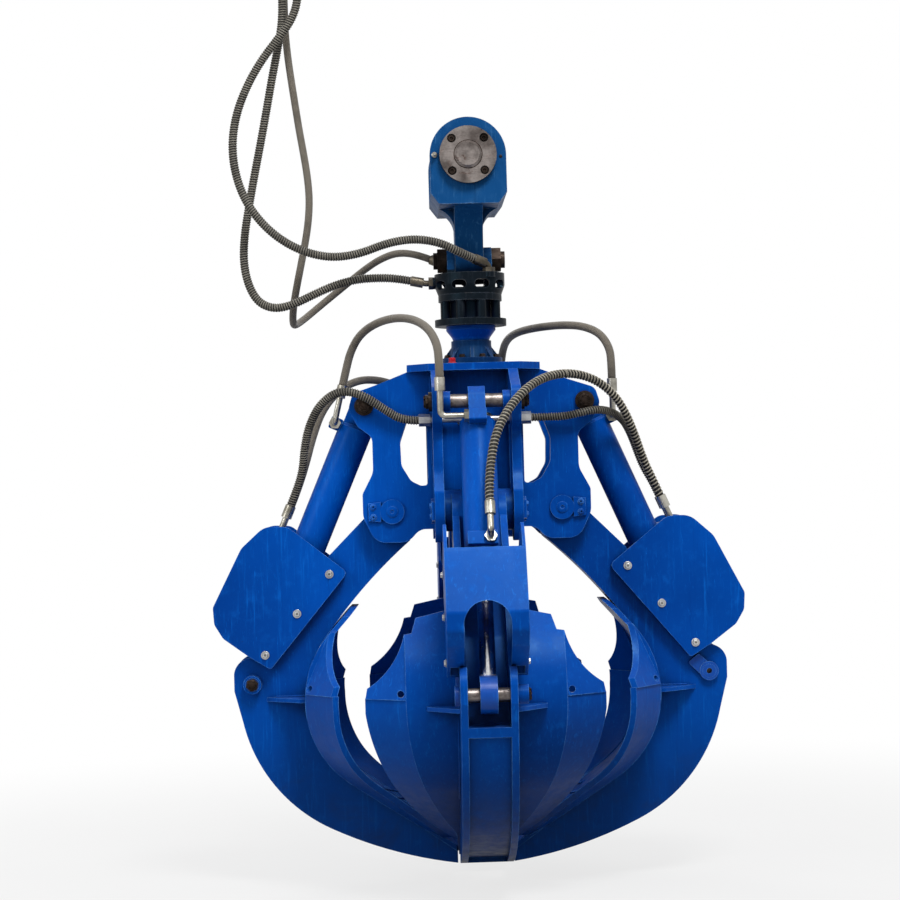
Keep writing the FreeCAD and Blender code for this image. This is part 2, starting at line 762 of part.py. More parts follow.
def make_shell():
    thick = size.shell_thickness
    wide, fold = size.shell_half_width, size.shell_fold_half
    top = shell_centre.z + 272
    # Middle panel: rolled plate with straight ends, the upper one along the arm
    inner_radius = size.shell_radius - thick
    outer_bend, inner_bend = on_shell(42), on_shell(42, inner_radius)
    up_arm = (on_shell(132) - shell_centre).normalize() * 130
    outer_top, inner_top = flat(outer_bend + up_arm), flat(inner_bend + up_arm)
    profile = chain(
        [outer_top, flat(outer_bend)],
        [flat(outer_bend), flat(on_shell(5)), flat(past_shell(0))],
        [flat(past_shell(0)), flat(past_shell(377))],
        [flat(past_shell(377)), flat(past_shell(377, inner_radius))],
        [flat(past_shell(377, inner_radius)), flat(past_shell(0, inner_radius))],
        [flat(past_shell(0, inner_radius)), flat(on_shell(5, inner_radius)), flat(inner_bend)],
        [flat(inner_bend), inner_top],
        [inner_top, outer_top],
    )
    drawing = free_sketch("rolled", SIDE_VIEW, profile)
    rolled = extrude(drawing, V(0, 1, 0), "shell_half_width", "shell_half_width")
    middle = chain(
        [(-106, top - 7), (0, top), (106, top - 7)],
        [(106, top - 7), (192, top - 25)],
        [(192, top - 25), (205, top - 66)],
        [(205, top - 66), (fold, top - 69)],
        [(fold, top - 69), (fold, crease)],
        [(fold, crease), (fold - 30, crease - 214), (90, crease - 422)],
        [(90, crease - 422), (62, -2200)],
        [(62, -2200), (-62, -2200)],
        [(-62, -2200), (-90, crease - 422)],
        [(-90, crease - 422), (30 - fold, crease - 214), (-fold, crease)],
        [(-fold, crease), (-fold, top - 69)],
        [(-fold, top - 69), (-205, top - 66)],
        [(-205, top - 66), (-192, top - 25)],
        [(-192, top - 25), (-106, top - 7)],
    )
    window = extrude(free_sketch("middle_view", FRONT_VIEW, middle), V(1, 0, 0), LONG)
    # The shells stay apart along the diagonals between the tines
    sector = chain([(6, 0), (1000, 994)], [(1000, 994), (1000, -994)], [(1000, -994), (6, 0)])
    quarter = extrude(free_sketch("quarter_view", FreeCAD.Rotation(), sector), -UP, LONG)
    panel = common("middle_panel", rolled, window, quarter)
    # Bent sides below the crease
    slanted = V(-math.sin(fold_slope), math.cos(fold_slope), 0)
    steps = 12
    levels = [crease + 4 + (shell_foot - 16 - crease) * step / steps for step in range(steps + 1)]
    profile = free_sketch("side_profile", SIDE_VIEW, facet_band([min(level, crease) for level in levels]))
    slope = extrude(profile, slanted, "2 * shell_half_width")
    foot_fold, foot_edge = half_width_at(shell_foot, fold_line), half_width_at(shell_foot, free_edge)
    between = (crease + shell_foot) / 2
    inside = fold - bend_step
    foot_fold -= bend_step
    side = chain(
        [(inside, crease), (half_width_at(between, fold_line) - bend_step, between), (foot_fold, shell_foot)],
        [(foot_fold, shell_foot), (foot_edge, shell_foot)],
        [(foot_edge, shell_foot), (half_width_at(between, free_edge), between), (wide, -1600)],
        [(wide, -1600), (wide, crease)],
        [(wide, crease), (inside, crease)],
    )
    window = extrude(free_sketch("side_view", FRONT_VIEW, side), V(1, 0, 0), LONG)
    facet = common("side_facet", slope, window, quarter)
    # Flat ears above the crease
    reach = math.tan(fold_slope) * fold + 2 * bend_step
    low, high = (shell_out(crease) + reach, crease), (shell_out(top - 69) + reach, top - 69)
    rise = (high[0] - low[0]) / (high[1] - low[1])
    low = (low[0] - 9 * rise, low[1] - 9)
    high = (high[0] + 9 * rise, high[1] + 9)
    lean_back = V(high[0] - low[0], 0, high[1] - low[1]).normalize()
    depth = thick * math.hypot(lean_back.z, math.cos(fold_slope) * lean_back.x) / math.cos(fold_slope)
    inward = V(-lean_back.z, 0, lean_back.x) * depth
    profile = chain(
        [low, high],
        [high, (high[0] + inward.x, high[1] + inward.z)],
        [(high[0] + inward.x, high[1] + inward.z), (low[0] + inward.x, low[1] + inward.z)],
        [(low[0] + inward.x, low[1] + inward.z), low],
    )
    plane = extrude(free_sketch("ear_profile", SIDE_VIEW, profile), slanted, "2 * shell_half_width")
    corner = chain(
        [(fold - 12, crease - bend_step), (fold - 12, top - 69)],
        [(fold - 12, top - 69), (fold + 1, top - 69)],
        [(fold + 1, top - 69), (fold + 36, top - 149), (wide - 6, crease + 26)],
        [(wide - 6, crease + 26), (wide - 1, crease - bend_step)],
        [(wide - 1, crease - bend_step), (fold - 12, crease - bend_step)],
    )
    corner.append(circle(fold + 14, crease + 15, size.relief_hole_radius))
    window = extrude(free_sketch("ear_view", FRONT_VIEW, corner), V(1, 0, 0), LONG)
    disc = [circle(shell_centre.x, shell_centre.z, size.shell_radius - 1)]
    drawing = free_sketch("ear_limit", SIDE_VIEW, disc)
    limit = extrude(drawing, V(0, 1, 0), "shell_half_width", "shell_half_width")
    ear = common("ear", plane, window, limit)
    pieces = [panel]
    for item in (facet, ear):
        other = doc.addObject("Part::Mirroring", item.Name + "_mirrored")
        other.Source = item
        other.Normal = V(0, 1, 0)
        pieces += [item, other]
    shell = doc.addObject("Part::MultiFuse", "peel")
    shell.Shapes = pieces
    shell.Refine = False
    four("shell", shell)


def make_spine():
    body = new_body("spine")
    seat = size.shell_radius + size.face_gap
    inner_arm = (pivot.x - 50, pivot.z - 87)
    lap = flat(on_shell(40.8, seat))
    shell_low = flat(past_shell(0, seat))
    tip = flat(past_shell(377, seat))
    lug = size.lug_radius
    rx, rz = rod_pin.x, rod_pin.z
    outline = chain(
        [inner_arm, (pivot.x + 66, pivot.z - 196), lap],
        [lap, flat(on_shell(0, seat)), shell_low],
        [shell_low, tip],
        [tip, (tip[0], tip[1] - 34)],
        [(tip[0], tip[1] - 34), (rx - 403, rz - 506), (rx - 222, rz - 435)],
        [(rx - 222, rz - 435), (rx - 57, rz - 302), (rx + 32, rz - 110)],
        [(rx + 32, rz - 110), (rx + lug, rz - 20)],
        [(rx + lug, rz - 20), (rx + lug, rz + 30)],
        [(rx + lug, rz + 30), (rx + 40, rz + 62), (rx + 2, rz + 78)],
        [(rx + 2, rz + 78), (rx - 40, rz + 62)],
        [(rx - 40, rz + 62), (pivot.x + 190, pivot.z - 124)],
        [(pivot.x + 190, pivot.z - 124), (pivot.x + 81, pivot.z - 15)],
        [(pivot.x + 81, pivot.z - 15), (pivot.x + 44, pivot.z + 44), (pivot.x - 30, pivot.z + 52)],
        [(pivot.x - 30, pivot.z + 52), (pivot.x - 60, pivot.z), inner_arm],
    )
    pad(body, "XZ", outline, "spine_width")
    # The arm is a channel that opens outwards, so that the cylinder folds into it
    channel = rounded(
        [
            (pivot.x + 100, pivot.z + 40),
            (rx + 180, rz + 140),
            (rx + 180, rz - 85),
            (rx - 40, rz - 85, 40),
            (rx - 112, rz - 20, 50),
            (pivot.x + 225, pivot.z - 356, 60),
            (pivot.x + 36, pivot.z - 148, 20),
        ]
    )
    pocket(body, "XZ", channel, "spine_width - 2 * spine_plate")
    # Below the rod pin the outer plate lies between the side plates
    step = size.spine_web
    recess = chain(
        [(tip[0] + 30, tip[1] - 34 + step - 2), (rx - 403, rz - 506 + step), (rx - 230, rz - 435 + step)],
        [(rx - 230, rz - 435 + step), (rx - 76, rz - 288), (rx + 32 - step, rz - 116)],
        [(rx + 32 - step, rz - 116), (rx + 120, rz - 98)],
        [(rx + 120, rz - 98), (rx + 120, tip[1] - 120)],
        [(rx + 120, tip[1] - 120), (tip[0] + 30, tip[1] - 120)],
        [(tip[0] + 30, tip[1] - 120), (tip[0] + 30, tip[1] - 34 + step - 2)],
    )
    pocket(body, "XZ", recess, "spine_width - 2 * spine_plate")
    boss_length = "frame_width - 2 * frame_plate - 2 * side_gap"
    pad(body, "XZ", [circle(pivot.x, pivot.z, size.pivot_boss_radius)], boss_length)
    pocket(body, "XZ", [circle(pivot.x, pivot.z, size.pivot_pin_radius + size.running_clearance)], LONG)
    # Socket for the end of the rod pin
    face = size.spine_width / 2
    pad(body, "XZ", [circle(rx, rz, 27)], "30", offset=-face, middle=False, reverse=True)
    pocket(body, "XZ", [circle(rx, rz, size.rod_pin_radius + size.running_clearance)], LONG)
    # Ribs between the spine and the shell
    for side in (-1, 1):
        near = flat(on_shell(1, seat))[0]
        rib = rounded(
            [
                (near, side * (face - 2)),
                (near + 120, side * (face - 2)),
                (near + 100, side * (face + 20), 10),
                (near + 18, side * (face + size.rib_length), 6),
                (near, side * (face + size.rib_length)),
            ]
        )
        pad(body, "XY", rib, "rib_thickness", offset=shell_centre.z + 2)
    four("spine", body)


def make_rod_pin():
    body = new_body("rod_pin")
    rx, rz = rod_pin.x, rod_pin.z
    face = size.spine_width / 2
    pad(body, "XZ", [circle(rx, rz, size.rod_pin_radius)], "spine_width + 44", offset=-7)
    corners = [(rx - 16, rz - 20), (rx + 18, rz + 8), (rx - 30, rz + 52), (rx - 62, rz + 26)]
    flag = rounded([(x, z, 8) for x, z in corners])
    pad(body, "XZ", flag, "10", offset=face + size.face_gap, middle=False)
    pad(body, "XZ", [circle(rx, rz, 28)], "14", offset=face + size.face_gap, middle=False)
    pocket(body, "XZ", [circle(rx, rz, 8)], "18", offset=face + size.face_gap + 15, middle=False)
    four("rod_pin", body)


def make_rod_guard():
    body = new_body("rod_guard")
    px, pz = pivot.x, pivot.z
    rx, rz = rod_pin.x, rod_pin.z
    corners = [
        (px + 136, pz - 175, 18),
        (px + 281, pz - 59, 10),
        (px + 310, pz - 36, 40),
        (px + 378, pz - 33, 60),
        (px + 448, pz - 96, 60),
        (px + 536, pz - 268, 20),
        (px + 533, pz - 318, 30),
        (px + 508, pz - 360, 30),
        (px + 433, pz - 416, 6),
        (rx - 56, rz + 44, 10),
    ]
    pad(body, "XZ", rounded(corners), "guard_width")
    thick = size.guard_plate
    inside = rounded(
        [
            (px + 60, pz - 200),
            (px + 60, pz + 60),
            (px + 520, pz + 60),
            (px + 450, pz - 94),
            (px + 439, pz - 100, 10),
            (px + 536 - thick, pz - 271, 16),
            (px + 533 - thick, pz - 315, 24),
            (px + 503, pz - 352, 24),
            (px + 426, pz - 409),
            (px + 400, pz - 520),
            (px + 330, pz - 520),
        ]
    )
    pocket(body, "XZ", inside, "guard_width - 2 * guard_plate")
    arch = size.guard_arch_width / 2
    crown = pz - 237 - arch
    opening = chain(
        [(-arch, crown), (0, crown + arch), (arch, crown)],
        [(arch, crown), (arch, crown - 300)],
        [(arch, crown - 300), (-arch, crown - 300)],
        [(-arch, crown - 300), (-arch, crown)],
    )
    pocket(body, "YZ", opening, LONG)
    # Ledges that carry the guard on the sides of the arm
    face = size.spine_width / 2 + size.face_gap
    ledge_width = size.guard_width / 2 - thick / 2 - face
    ledge = rounded(
        [
            (px + 140, pz - 177, 6),
            (px + 158, pz - 162),
            (rx - 42, rz + 52),
            (rx - 58, rz + 46, 4),
        ]
    )
    for side in (-1, 1):
        at = side * (face + ledge_width / 2)
        pad(body, "XZ", ledge, "(guard_width - guard_plate - spine_width) / 2 - face_gap", offset=at)
    four("rod_guard", body)


# Cylinders, drawn hanging down from the cylinder pin and then leaned outwards

lean_placement = FreeCAD.Placement(cylinder_pin, FreeCAD.Rotation(V(0, 1, 0), -lean))


def on_cylinder(side, along, out, lateral=0):
    """Point beside one of the cylinders: along its axis, outwards and to its side."""
    point = lean_placement.multVec(V(out, lateral, -along))
    return quarter_turn(QUARTERS[side]).multVec(point)


def make_barrel():
    body = new_body("barrel")
    outer, bore = size.barrel_radius, size.bore_radius
    start, end = -size.barrel_start, -size.barrel_end
    outline = rounded(
        [
            (0, start),
            (outer - 8, start),
            (outer, start - 8),
            (outer, end),
            (bore, end),
            (bore, start - 14),
            (0, start - 14),
        ]
    )
    turn("Revolution", body, outline)
    eye = size.base_eye_radius
    lug = chain(
        [(eye, 0), (0, eye), (-eye, 0)],
        [(-eye, 0), (-eye, start - 5)],
        [(-eye, start - 5), (eye, start - 5)],
        [(eye, start - 5), (eye, 0)],
    )
    pad(body, "XZ", lug, "eye_width")
    pad(body, "XZ", box_outline(outer - 8, start - 33, outer + 28, start + 4, 5), "50")
    pad(body, "XZ", box_outline(outer - 5, end + 58, outer + 12, end + 98, 3), "84")
    pocket(body, "XZ", [circle(0, 0, size.cylinder_pin_radius + size.running_clearance)], LONG)
    body.Placement = lean_placement
    four("barrel", body)


def make_gland():
    body = new_body("gland")
    end = -size.barrel_end
    inner = size.rod_radius + size.running_clearance
    spigot = size.bore_radius - size.running_clearance
    outline = rounded(
        [
            (inner, end - size.gland_length),
            (size.barrel_radius - 3, end - size.gland_length),
            (size.barrel_radius - 3, end),
            (spigot, end),
            (spigot, end + size.gland_spigot),
            (inner, end + size.gland_spigot),
        ]
    )
    turn("Revolution", body, outline)
    body.Placement = lean_placement
    four("gland", body)


def make_rod():
    body = new_body("rod")
    top = -size.piston_top + 2
    shoulder = -(size.piston_top + size.piston_length)
    neck = size.rod_radius - 6
    outline = rounded(
        [
            (0, top),
            (neck, top),
            (neck, shoulder),
            (size.rod_radius, shoulder),
            (size.rod_radius, -closed_length + size.rod_eye_radius - 6),
            (0, -closed_length + size.rod_eye_radius - 6),
        ]
    )
    turn("Revolution", body, outline)
    pad(body, "XZ", [circle(0, -closed_length, size.rod_eye_radius)], "eye_width")
    hole = size.rod_pin_radius + size.rod_eye_slack
    pocket(body, "XZ", [circle(0, -closed_length, hole)], LONG)
    body.Placement = lean_placement
    four("rod", body)
    piston = new_body("piston")
    outline = rounded(
        [
            (neck + size.running_clearance, shoulder),
            (size.bore_radius - size.running_clearance, shoulder),
            (size.bore_radius - size.running_clearance, -size.piston_top),
            (neck + size.running_clearance, -size.piston_top),
        ]
    )
    turn("Revolution", piston, outline)
    piston.Placement = lean_placement
    four("piston", piston)


# Hoses and their fittings

hose_ends = []


def tube(points, radius, bend=None):
    """Round tube along straight runs joined by tangent arcs, and the smallest bend radius."""
    edges = []
    smallest = None
    here = points[0]
    length = 0
    for index in range(1, len(points) - 1):
        corner = points[index]
        before = points[index - 1] - corner
        after = points[index + 1] - corner
        half_turn = (math.pi - before.getAngle(after)) / 2
        arc_radius = bend or 0.45 * min(before.Length, after.Length) / math.tan(half_turn)
        reach = arc_radius * math.tan(half_turn)
        before.normalize()
        after.normalize()
        start, end = corner + before * reach, corner + after * reach
        toward = (before + after).normalize()
        middle = corner + toward * (arc_radius / math.cos(half_turn) - arc_radius)
        edges.append(Part.LineSegment(here, start).toShape())
        edges.append(Part.Arc(start, middle, end).toShape())
        smallest = min(smallest or arc_radius, arc_radius)
        here = end
    edges.append(Part.LineSegment(here, points[-1]).toShape())
    path = Part.Wire(edges)
    section = Part.Wire(Part.makeCircle(radius, points[0], points[1] - points[0]))
    shape = path.makePipeShell([section], True, True)
    return shape, smallest, path.Length


def hexagon(foot, out, radius, length):
    """Hexagonal prism that stands on a point."""
    corners = [V(x, y, 0) for x, y in around(6, radius)]
    prism = Part.Face(Part.makePolygon([*corners, corners[0]])).extrude(UP * length)
    prism.Placement = FreeCAD.Placement(foot, FreeCAD.Rotation(UP, out))
    return prism


def fitting(points):
    """Pipe elbow with a hexagon nut at its port and a crimped ferrule at the hose."""
    shape = tube(points, size.pipe_radius, 16)[0]
    out = (points[1] - points[0]).normalize()
    nut = hexagon(points[0], out, size.nut_radius, 13)
    along = (points[-1] - points[-2]).normalize()
    ferrule = Part.makeCylinder(size.ferrule_radius, 38, points[-1] - along * 38, along)
    hose_ends.append((points[-1], along))
    return shape.fuse([nut, ferrule])


def hose(label, start, route, end, radius):
    """Hose between two ends; it leaves and reaches them in line, through the points of its route."""
    (first, out), (last, back) = start, end
    points = [first, first + out * 46, *[V(*point) for point in route], last + back * 46, last]
    shape, smallest, length = tube(points, radius)
    error = abs(shape.Volume / (math.pi * radius ** 2 * length) - 1)
    print(f"{label}: length {length:.0f}, smallest bend radius {smallest:.0f}, volume error {error:.4f}")
    keep_shape(label, shape)


def make_cylinder_fittings(side, base_lateral, base_reach, rod_laterals, lean_in=0):
    """Elbows of one cylinder: one at its base and one or two at its rod end."""
    along, face = size.barrel_start + 14, size.barrel_radius + 13
    port = on_cylinder(side, along, face, base_lateral)
    bend = on_cylinder(side, along, face, base_reach)
    pieces = [fitting([port, bend, bend + V(lean_in, 0, 110)])]
    along, face = size.barrel_end - 78, size.barrel_radius + 12
    for lateral in rod_laterals:
        port = on_cylinder(side, along, face, lateral)
        bend = on_cylinder(side, along, face + 32, lateral)
        end = on_cylinder(side, along - 92, face + 32, lateral)
        pieces.append(fitting([port, bend, end]))
    keep_shape(f"{side}_hose_fittings", Part.makeCompound(pieces))
    return hose_ends[-len(pieces):]


def make_cylinder_hoses():
    right_base, right_rod_front, right_rod_back = make_cylinder_fittings("right", -25, -58, (-22, 22))
    left_base, left_rod_front, left_rod_back = make_cylinder_fittings("left", 25, 58, (22, -22), 27)
    front_base, front_rod = make_cylinder_fittings("front", -25, -105, (22,))
    back_base, back_rod = make_cylinder_fittings("back", -25, -105, (22,))
    level = -pipe_drop
    left_pipe = (V(-frame_face - 38, -pipe_out, level), V(-1, 0, 0))
    right_pipe = (V(frame_face + 38, -pipe_out, level), V(1, 0, 0))
    slim, thick = size.hose_radius, size.guard_radius
    route = [
        (-362, -66, -560), (-334, -90, -512), (-288, -134, -482), (-230, -198, -470),
        (-174, -268, -480), (-132, -338, -512), (-109, -392, -560),
    ]
    hose("left_to_front_base_hose", left_base, route, front_base, slim)
    route = [
        (411, -52, -566), (386, -28, -520), (338, 16, -494), (282, 68, -486), (226, 122, -486),
        (176, 180, -490), (144, 240, -497), (124, 302, -509), (113, 366, -530), (107, 402, -566),
    ]
    hose("right_to_back_base_hose", right_base, route, back_base, slim)
    route = [
        (30, -502, -900), (44, -474, -832), (72, -438, -774), (112, -400, -721), (162, -348, -678),
        (222, -286, -652), (292, -232, -647), (360, -188, -668), (416, -152, -714), (452, -120, -774),
        (478, -84, -836), (505, -46, -908),
    ]
    hose("front_to_right_rod_hose", front_rod, route, right_rod_front, thick)
    route = [
        (-265, -154, -736), (-325, -163, -692), (-392, -152, -674), (-450, -120, -708),
        (-488, -88, -770), (-506, -60, -840), (-514, -36, -910),
    ]
    hose("manifold_to_left_rod_hose", left_pipe, route, left_rod_front, thick)
    route = [
        (262, -156, -770), (312, -160, -760), (360, -148, -751), (404, -114, -757),
        (442, -72, -780), (468, -28, -820), (490, 6, -875), (508, 20, -922),
    ]
    hose("manifold_to_right_rod_hose", right_pipe, route, right_rod_back, slim)
    route = [
        (-30, 500, -900), (-48, 468, -832), (-82, 430, -770), (-128, 392, -718), (-178, 336, -674),
        (-234, 266, -644), (-294, 200, -630), (-350, 150, -634), (-406, 106, -666), (-455, 72, -725),
        (-485, 50, -805), (-508, 32, -890),
    ]
    hose("back_to_left_rod_hose", back_rod, route, left_rod_back, slim)


def supply_ports():
    """Bosses on the cup for the three supply hoses: centre of the face and direction."""
    side_port = V(-size.bracket_top_radius - 5, 0, bracket_top - 24)
    return [(V(56, -78, bracket_top), UP), (side_port, V(-1, 0, 0)), (V(-60, 70, bracket_top), UP)]


def make_supply_hoses():
    outer, inner, rear = [port for port, _ in supply_ports()]
    pieces = [
        fitting([outer, outer + V(0, 0, 21), V(13, -103, -295)]),
        fitting([inner, inner + V(-22, 0, 0), inner + V(-66, 0, 9)]),
        fitting([rear, rear + V(0, 0, 32), V(-113, 89, -276)]),
    ]
    keep_shape("supply_fittings", Part.makeCompound(pieces))
    outer_end, inner_end, rear_end = hose_ends[-3:]
    couplings = []
    tops = []
    for x, y in ((-488, -16), (-538, 30), (-535, 79)):
        foot = V(x, y, 550)
        ferrule = Part.makeCylinder(size.ferrule_radius, 40, foot, UP)
        nut = hexagon(foot + V(0, 0, 30), UP, size.nut_radius + 1.2, 26)
        mouth = Part.makeCylinder(10, 22, foot + V(0, 0, 34), UP)
        couplings.append(ferrule.fuse(nut).cut(mouth))
        tops.append((foot, V(0, 0, -1)))
    keep_shape("supply_couplings", Part.makeCompound(couplings))
    route = [
        (-78, -134, -252), (-130, -128, -238), (-185, -116, -234), (-250, -100, -244), (-325, -84, -270),
        (-405, -72, -279),
        (-482, -63, -262), (-554, -55, -224), (-614, -48, -170), (-662, -40, -100), (-690, -33, -18),
        (-698, -25, 70), (-684, -16, 160), (-650, -12, 245), (-605, -14, 320), (-552, -16, 385),
        (-508, -16, 442),
    ]
    hose("outer_supply_hose", outer_end, route, tops[0], size.guard_radius)
    route = [
        (-280, -6, -336), (-340, -20, -340), (-405, -28, -357), (-465, -30, -382), (-525, -26, -410),
        (-583, -14, -422), (-632, 2, -402), (-662, 12, -350), (-676, 20, -280), (-672, 28, -200),
        (-656, 34, -110), (-637, 38, -15), (-616, 38, 80), (-596, 36, 175), (-577, 34, 270),
        (-557, 32, 360), (-541, 30, 440),
    ]
    hose("inner_supply_hose", inner_end, route, tops[1], size.guard_radius)
    route = [
        (-213, 132, -247), (-268, 165, -263), (-320, 202, -293), (-370, 240, -328), (-417, 262, -362),
        (-463, 262, -398), (-502, 236, -432), (-528, 190, -455), (-537, 133, -462), (-536, 79, -441),
        (-529, 38, -400), (-517, 19, -347), (-504, 16, -290), (-490, 16, -227), (-478, 18, -160),
        (-473, 24, -90), (-478, 32, -20), (-488, 42, 50), (-500, 52, 125), (-510, 60, 200),
        (-520, 67, 275), (-529, 74, 350), (-535, 78, 430),
    ]
    hose("rear_supply_hose", rear_end, route, tops[2], size.hose_radius - 1)


make_hanger()
make_stick_pin()
make_cross_pin()
make_rotator_bracket()
make_rotator()
make_stool()
make_frame()
make_manifold()
make_frame_pins()
make_shell()
make_spine()
make_rod_pin()
make_rod_guard()
make_barrel()
make_gland()
make_rod()
make_cylinder_hoses()
make_supply_hoses()

doc.recompute()
faults = []
for item in doc.Objects:
    if "Invalid" in item.State or "Error" in item.State:
        parents = [parent.Label for parent in item.InListRecursive]
        faults.append(f"{item.Name} of {parents[:3]}: {item.State} {item.getStatusString()}")
if faults:
    raise RuntimeError("\n".join(faults))
os.makedirs("parts", exist_ok=True)
for label, item in subparts.items():
    shape = item.Shape
    if shape.isNull() or not shape.isValid() or not shape.Solids:
        raise RuntimeError(f"{label} has no valid solid")
    shape.exportStep(f"parts/{label}.step")
print(len(subparts), "nodes")
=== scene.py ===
import json
import math
import random

import bpy
from mathutils import Matrix, Vector


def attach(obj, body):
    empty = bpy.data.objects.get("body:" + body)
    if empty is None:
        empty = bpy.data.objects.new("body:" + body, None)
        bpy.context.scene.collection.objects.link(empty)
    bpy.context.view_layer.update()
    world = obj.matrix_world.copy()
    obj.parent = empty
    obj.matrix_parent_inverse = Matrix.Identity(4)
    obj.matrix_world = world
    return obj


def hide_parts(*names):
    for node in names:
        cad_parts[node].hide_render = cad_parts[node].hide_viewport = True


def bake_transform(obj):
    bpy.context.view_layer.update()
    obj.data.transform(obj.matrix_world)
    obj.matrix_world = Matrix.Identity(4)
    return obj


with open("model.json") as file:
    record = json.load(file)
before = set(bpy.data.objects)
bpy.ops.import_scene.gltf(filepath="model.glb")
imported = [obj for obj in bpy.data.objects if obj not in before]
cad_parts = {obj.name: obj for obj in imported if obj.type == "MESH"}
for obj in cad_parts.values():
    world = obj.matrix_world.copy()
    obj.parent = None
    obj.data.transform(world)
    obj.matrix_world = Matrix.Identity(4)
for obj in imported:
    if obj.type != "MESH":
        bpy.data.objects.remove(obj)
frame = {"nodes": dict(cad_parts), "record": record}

random.seed(11)
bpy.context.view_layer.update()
nodes = frame["nodes"]
scene = bpy.context.scene
SIDES = {"right": 0, "back": 90, "left": 180, "front": 270}
MM = 0.001


# Camera: level, 7 m in front, a little to the left, rolled as the photograph is; shifts are in its pixels

PHOTO_WIDTH = 900
distance, eye_height, yaw, roll = 7.0, -0.97, math.radians(-1.75), math.radians(-1.62)
camera = bpy.data.objects.new("camera", bpy.data.cameras.new("camera"))
scene.collection.objects.link(camera)
back = Vector((math.sin(yaw), -math.cos(yaw), 0))
camera.matrix_world = (
    Matrix.Translation(back * distance + Vector((0, 0, eye_height)))
    @ back.to_track_quat("Z", "Y").to_matrix().to_4x4()
    @ Matrix.Rotation(roll, 4, "Z")
)
camera.data.sensor_width = 36
camera.data.lens = 93.3
camera.data.shift_x = -25.3 / PHOTO_WIDTH
camera.data.shift_y = 37 / PHOTO_WIDTH
scene.camera = camera


# Materials


def srgb(red, green, blue):
    """Linear colour of an 8-bit screen colour."""
    levels = [value / 255 for value in (red, green, blue)]
    return tuple(v / 12.92 if v <= 0.04045 else ((v + 0.055) / 1.055) ** 2.4 for v in levels) + (1,)


class Shade:
    """Node graph of one material, built by chaining small helpers."""

    def __init__(self, name, **sockets):
        self.material = bpy.data.materials.new(name)
        self.material.use_nodes = True
        self.tree = self.material.node_tree
        self.tree.nodes.clear()
        self.out = self.add("ShaderNodeOutputMaterial")
        self.shader = self.add("ShaderNodeBsdfPrincipled")
        self.tree.links.new(self.shader.outputs[0], self.out.inputs[0])
        for socket, value in sockets.items():
            self.shader.inputs[socket.replace("_", " ")].default_value = value
        self.place = self.add("ShaderNodeTexCoord").outputs["Object"]

    def add(self, kind, **settings):
        node = self.tree.nodes.new(kind)
        for key, value in settings.items():
            setattr(node, key, value)
        return node

    def link(self, source, target):
        self.tree.links.new(source, target)

    def give(self, target, value):
        """Connect a socket or set a constant."""
        if isinstance(value, bpy.types.NodeSocket):
            self.link(value, target)
        else:
            target.default_value = value

    def scaled(self, x, y, z):
        """Object coordinates, stretched."""
        mapping = self.add("ShaderNodeMapping")
        self.link(self.place, mapping.inputs["Vector"])
        mapping.inputs["Scale"].default_value = (x, y, z)
        return mapping.outputs[0]

    def noise(self, scale, detail=4, roughness=0.55, place=None, distortion=0):
        node = self.add("ShaderNodeTexNoise")
        self.link(place or self.place, node.inputs["Vector"])
        node.inputs["Scale"].default_value = scale
        node.inputs["Detail"].default_value = detail
        node.inputs["Roughness"].default_value = roughness
        node.inputs["Distortion"].default_value = distortion
        return node.outputs["Fac"]

    def step(self, value, low, high, bottom=0.0, top=1.0):
        """Smooth rise from bottom to top as the value goes from low to high."""
        node = self.add("ShaderNodeMapRange", interpolation_type="SMOOTHSTEP")
        self.give(node.inputs["Value"], value)
        for socket, number in zip(("From Min", "From Max", "To Min", "To Max"), (low, high, bottom, top)):
            node.inputs[socket].default_value = number
        return node.outputs["Result"]

    def math(self, operation, first, second=0.0):
        node = self.add("ShaderNodeMath", operation=operation)
        self.give(node.inputs[0], first)
        self.give(node.inputs[1], second)
        return node.outputs[0]

    def times(self, first, second):
        return self.math("MULTIPLY", first, second)

    def mix(self, factor, first, second):
        node = self.add("ShaderNodeMix", data_type="RGBA")
        self.give(node.inputs["Factor"], factor)
        self.give(node.inputs[6], first)
        self.give(node.inputs[7], second)
        return node.outputs[2]

    def edges(self, radius):
        """1 along sharp edges, 0 on flat surfaces."""
        bevel = self.add("ShaderNodeBevel", samples=4)
        bevel.inputs["Radius"].default_value = radius
        geometry = self.add("ShaderNodeNewGeometry")
        dot = self.add("ShaderNodeVectorMath", operation="DOT_PRODUCT")
        self.link(bevel.outputs[0], dot.inputs[0])
        self.link(geometry.outputs["Normal"], dot.inputs[1])
        return self.math("SUBTRACT", 1.0, dot.outputs["Value"])

    def upward(self):
        """1 on faces that look up, 0 on upright ones."""
        geometry = self.add("ShaderNodeNewGeometry")
        split = self.add("ShaderNodeSeparateXYZ")
        self.link(geometry.outputs["Normal"], split.inputs[0])
        return split.outputs["Z"]

    def level(self, axis="Z"):
        """One coordinate of the object's own space."""
        split = self.add("ShaderNodeSeparateXYZ")
        self.link(self.place, split.inputs[0])
        return split.outputs[axis]

    def hollows(self, reach):
        """1 deep in a corner, 0 in the open."""
        shut = self.add("ShaderNodeAmbientOcclusion", samples=6)
        shut.inputs["Distance"].default_value = reach
        return self.step(shut.outputs["AO"], 0.75, 0.15)

    def height(self, value, strength, distance):
        """Bump on top of the bumps already there."""
        bump = self.add("ShaderNodeBump")
        bump.inputs["Strength"].default_value = strength
        bump.inputs["Distance"].default_value = distance
        self.link(value, bump.inputs["Height"])
        previous = self.shader.inputs["Normal"]
        if previous.is_linked:
            self.link(previous.links[0].from_socket, bump.inputs["Normal"])
        self.link(bump.outputs[0], previous)

    def set(self, socket, value):
        """Connect or set a socket of the shader."""
        self.give(self.shader.inputs[socket], value)


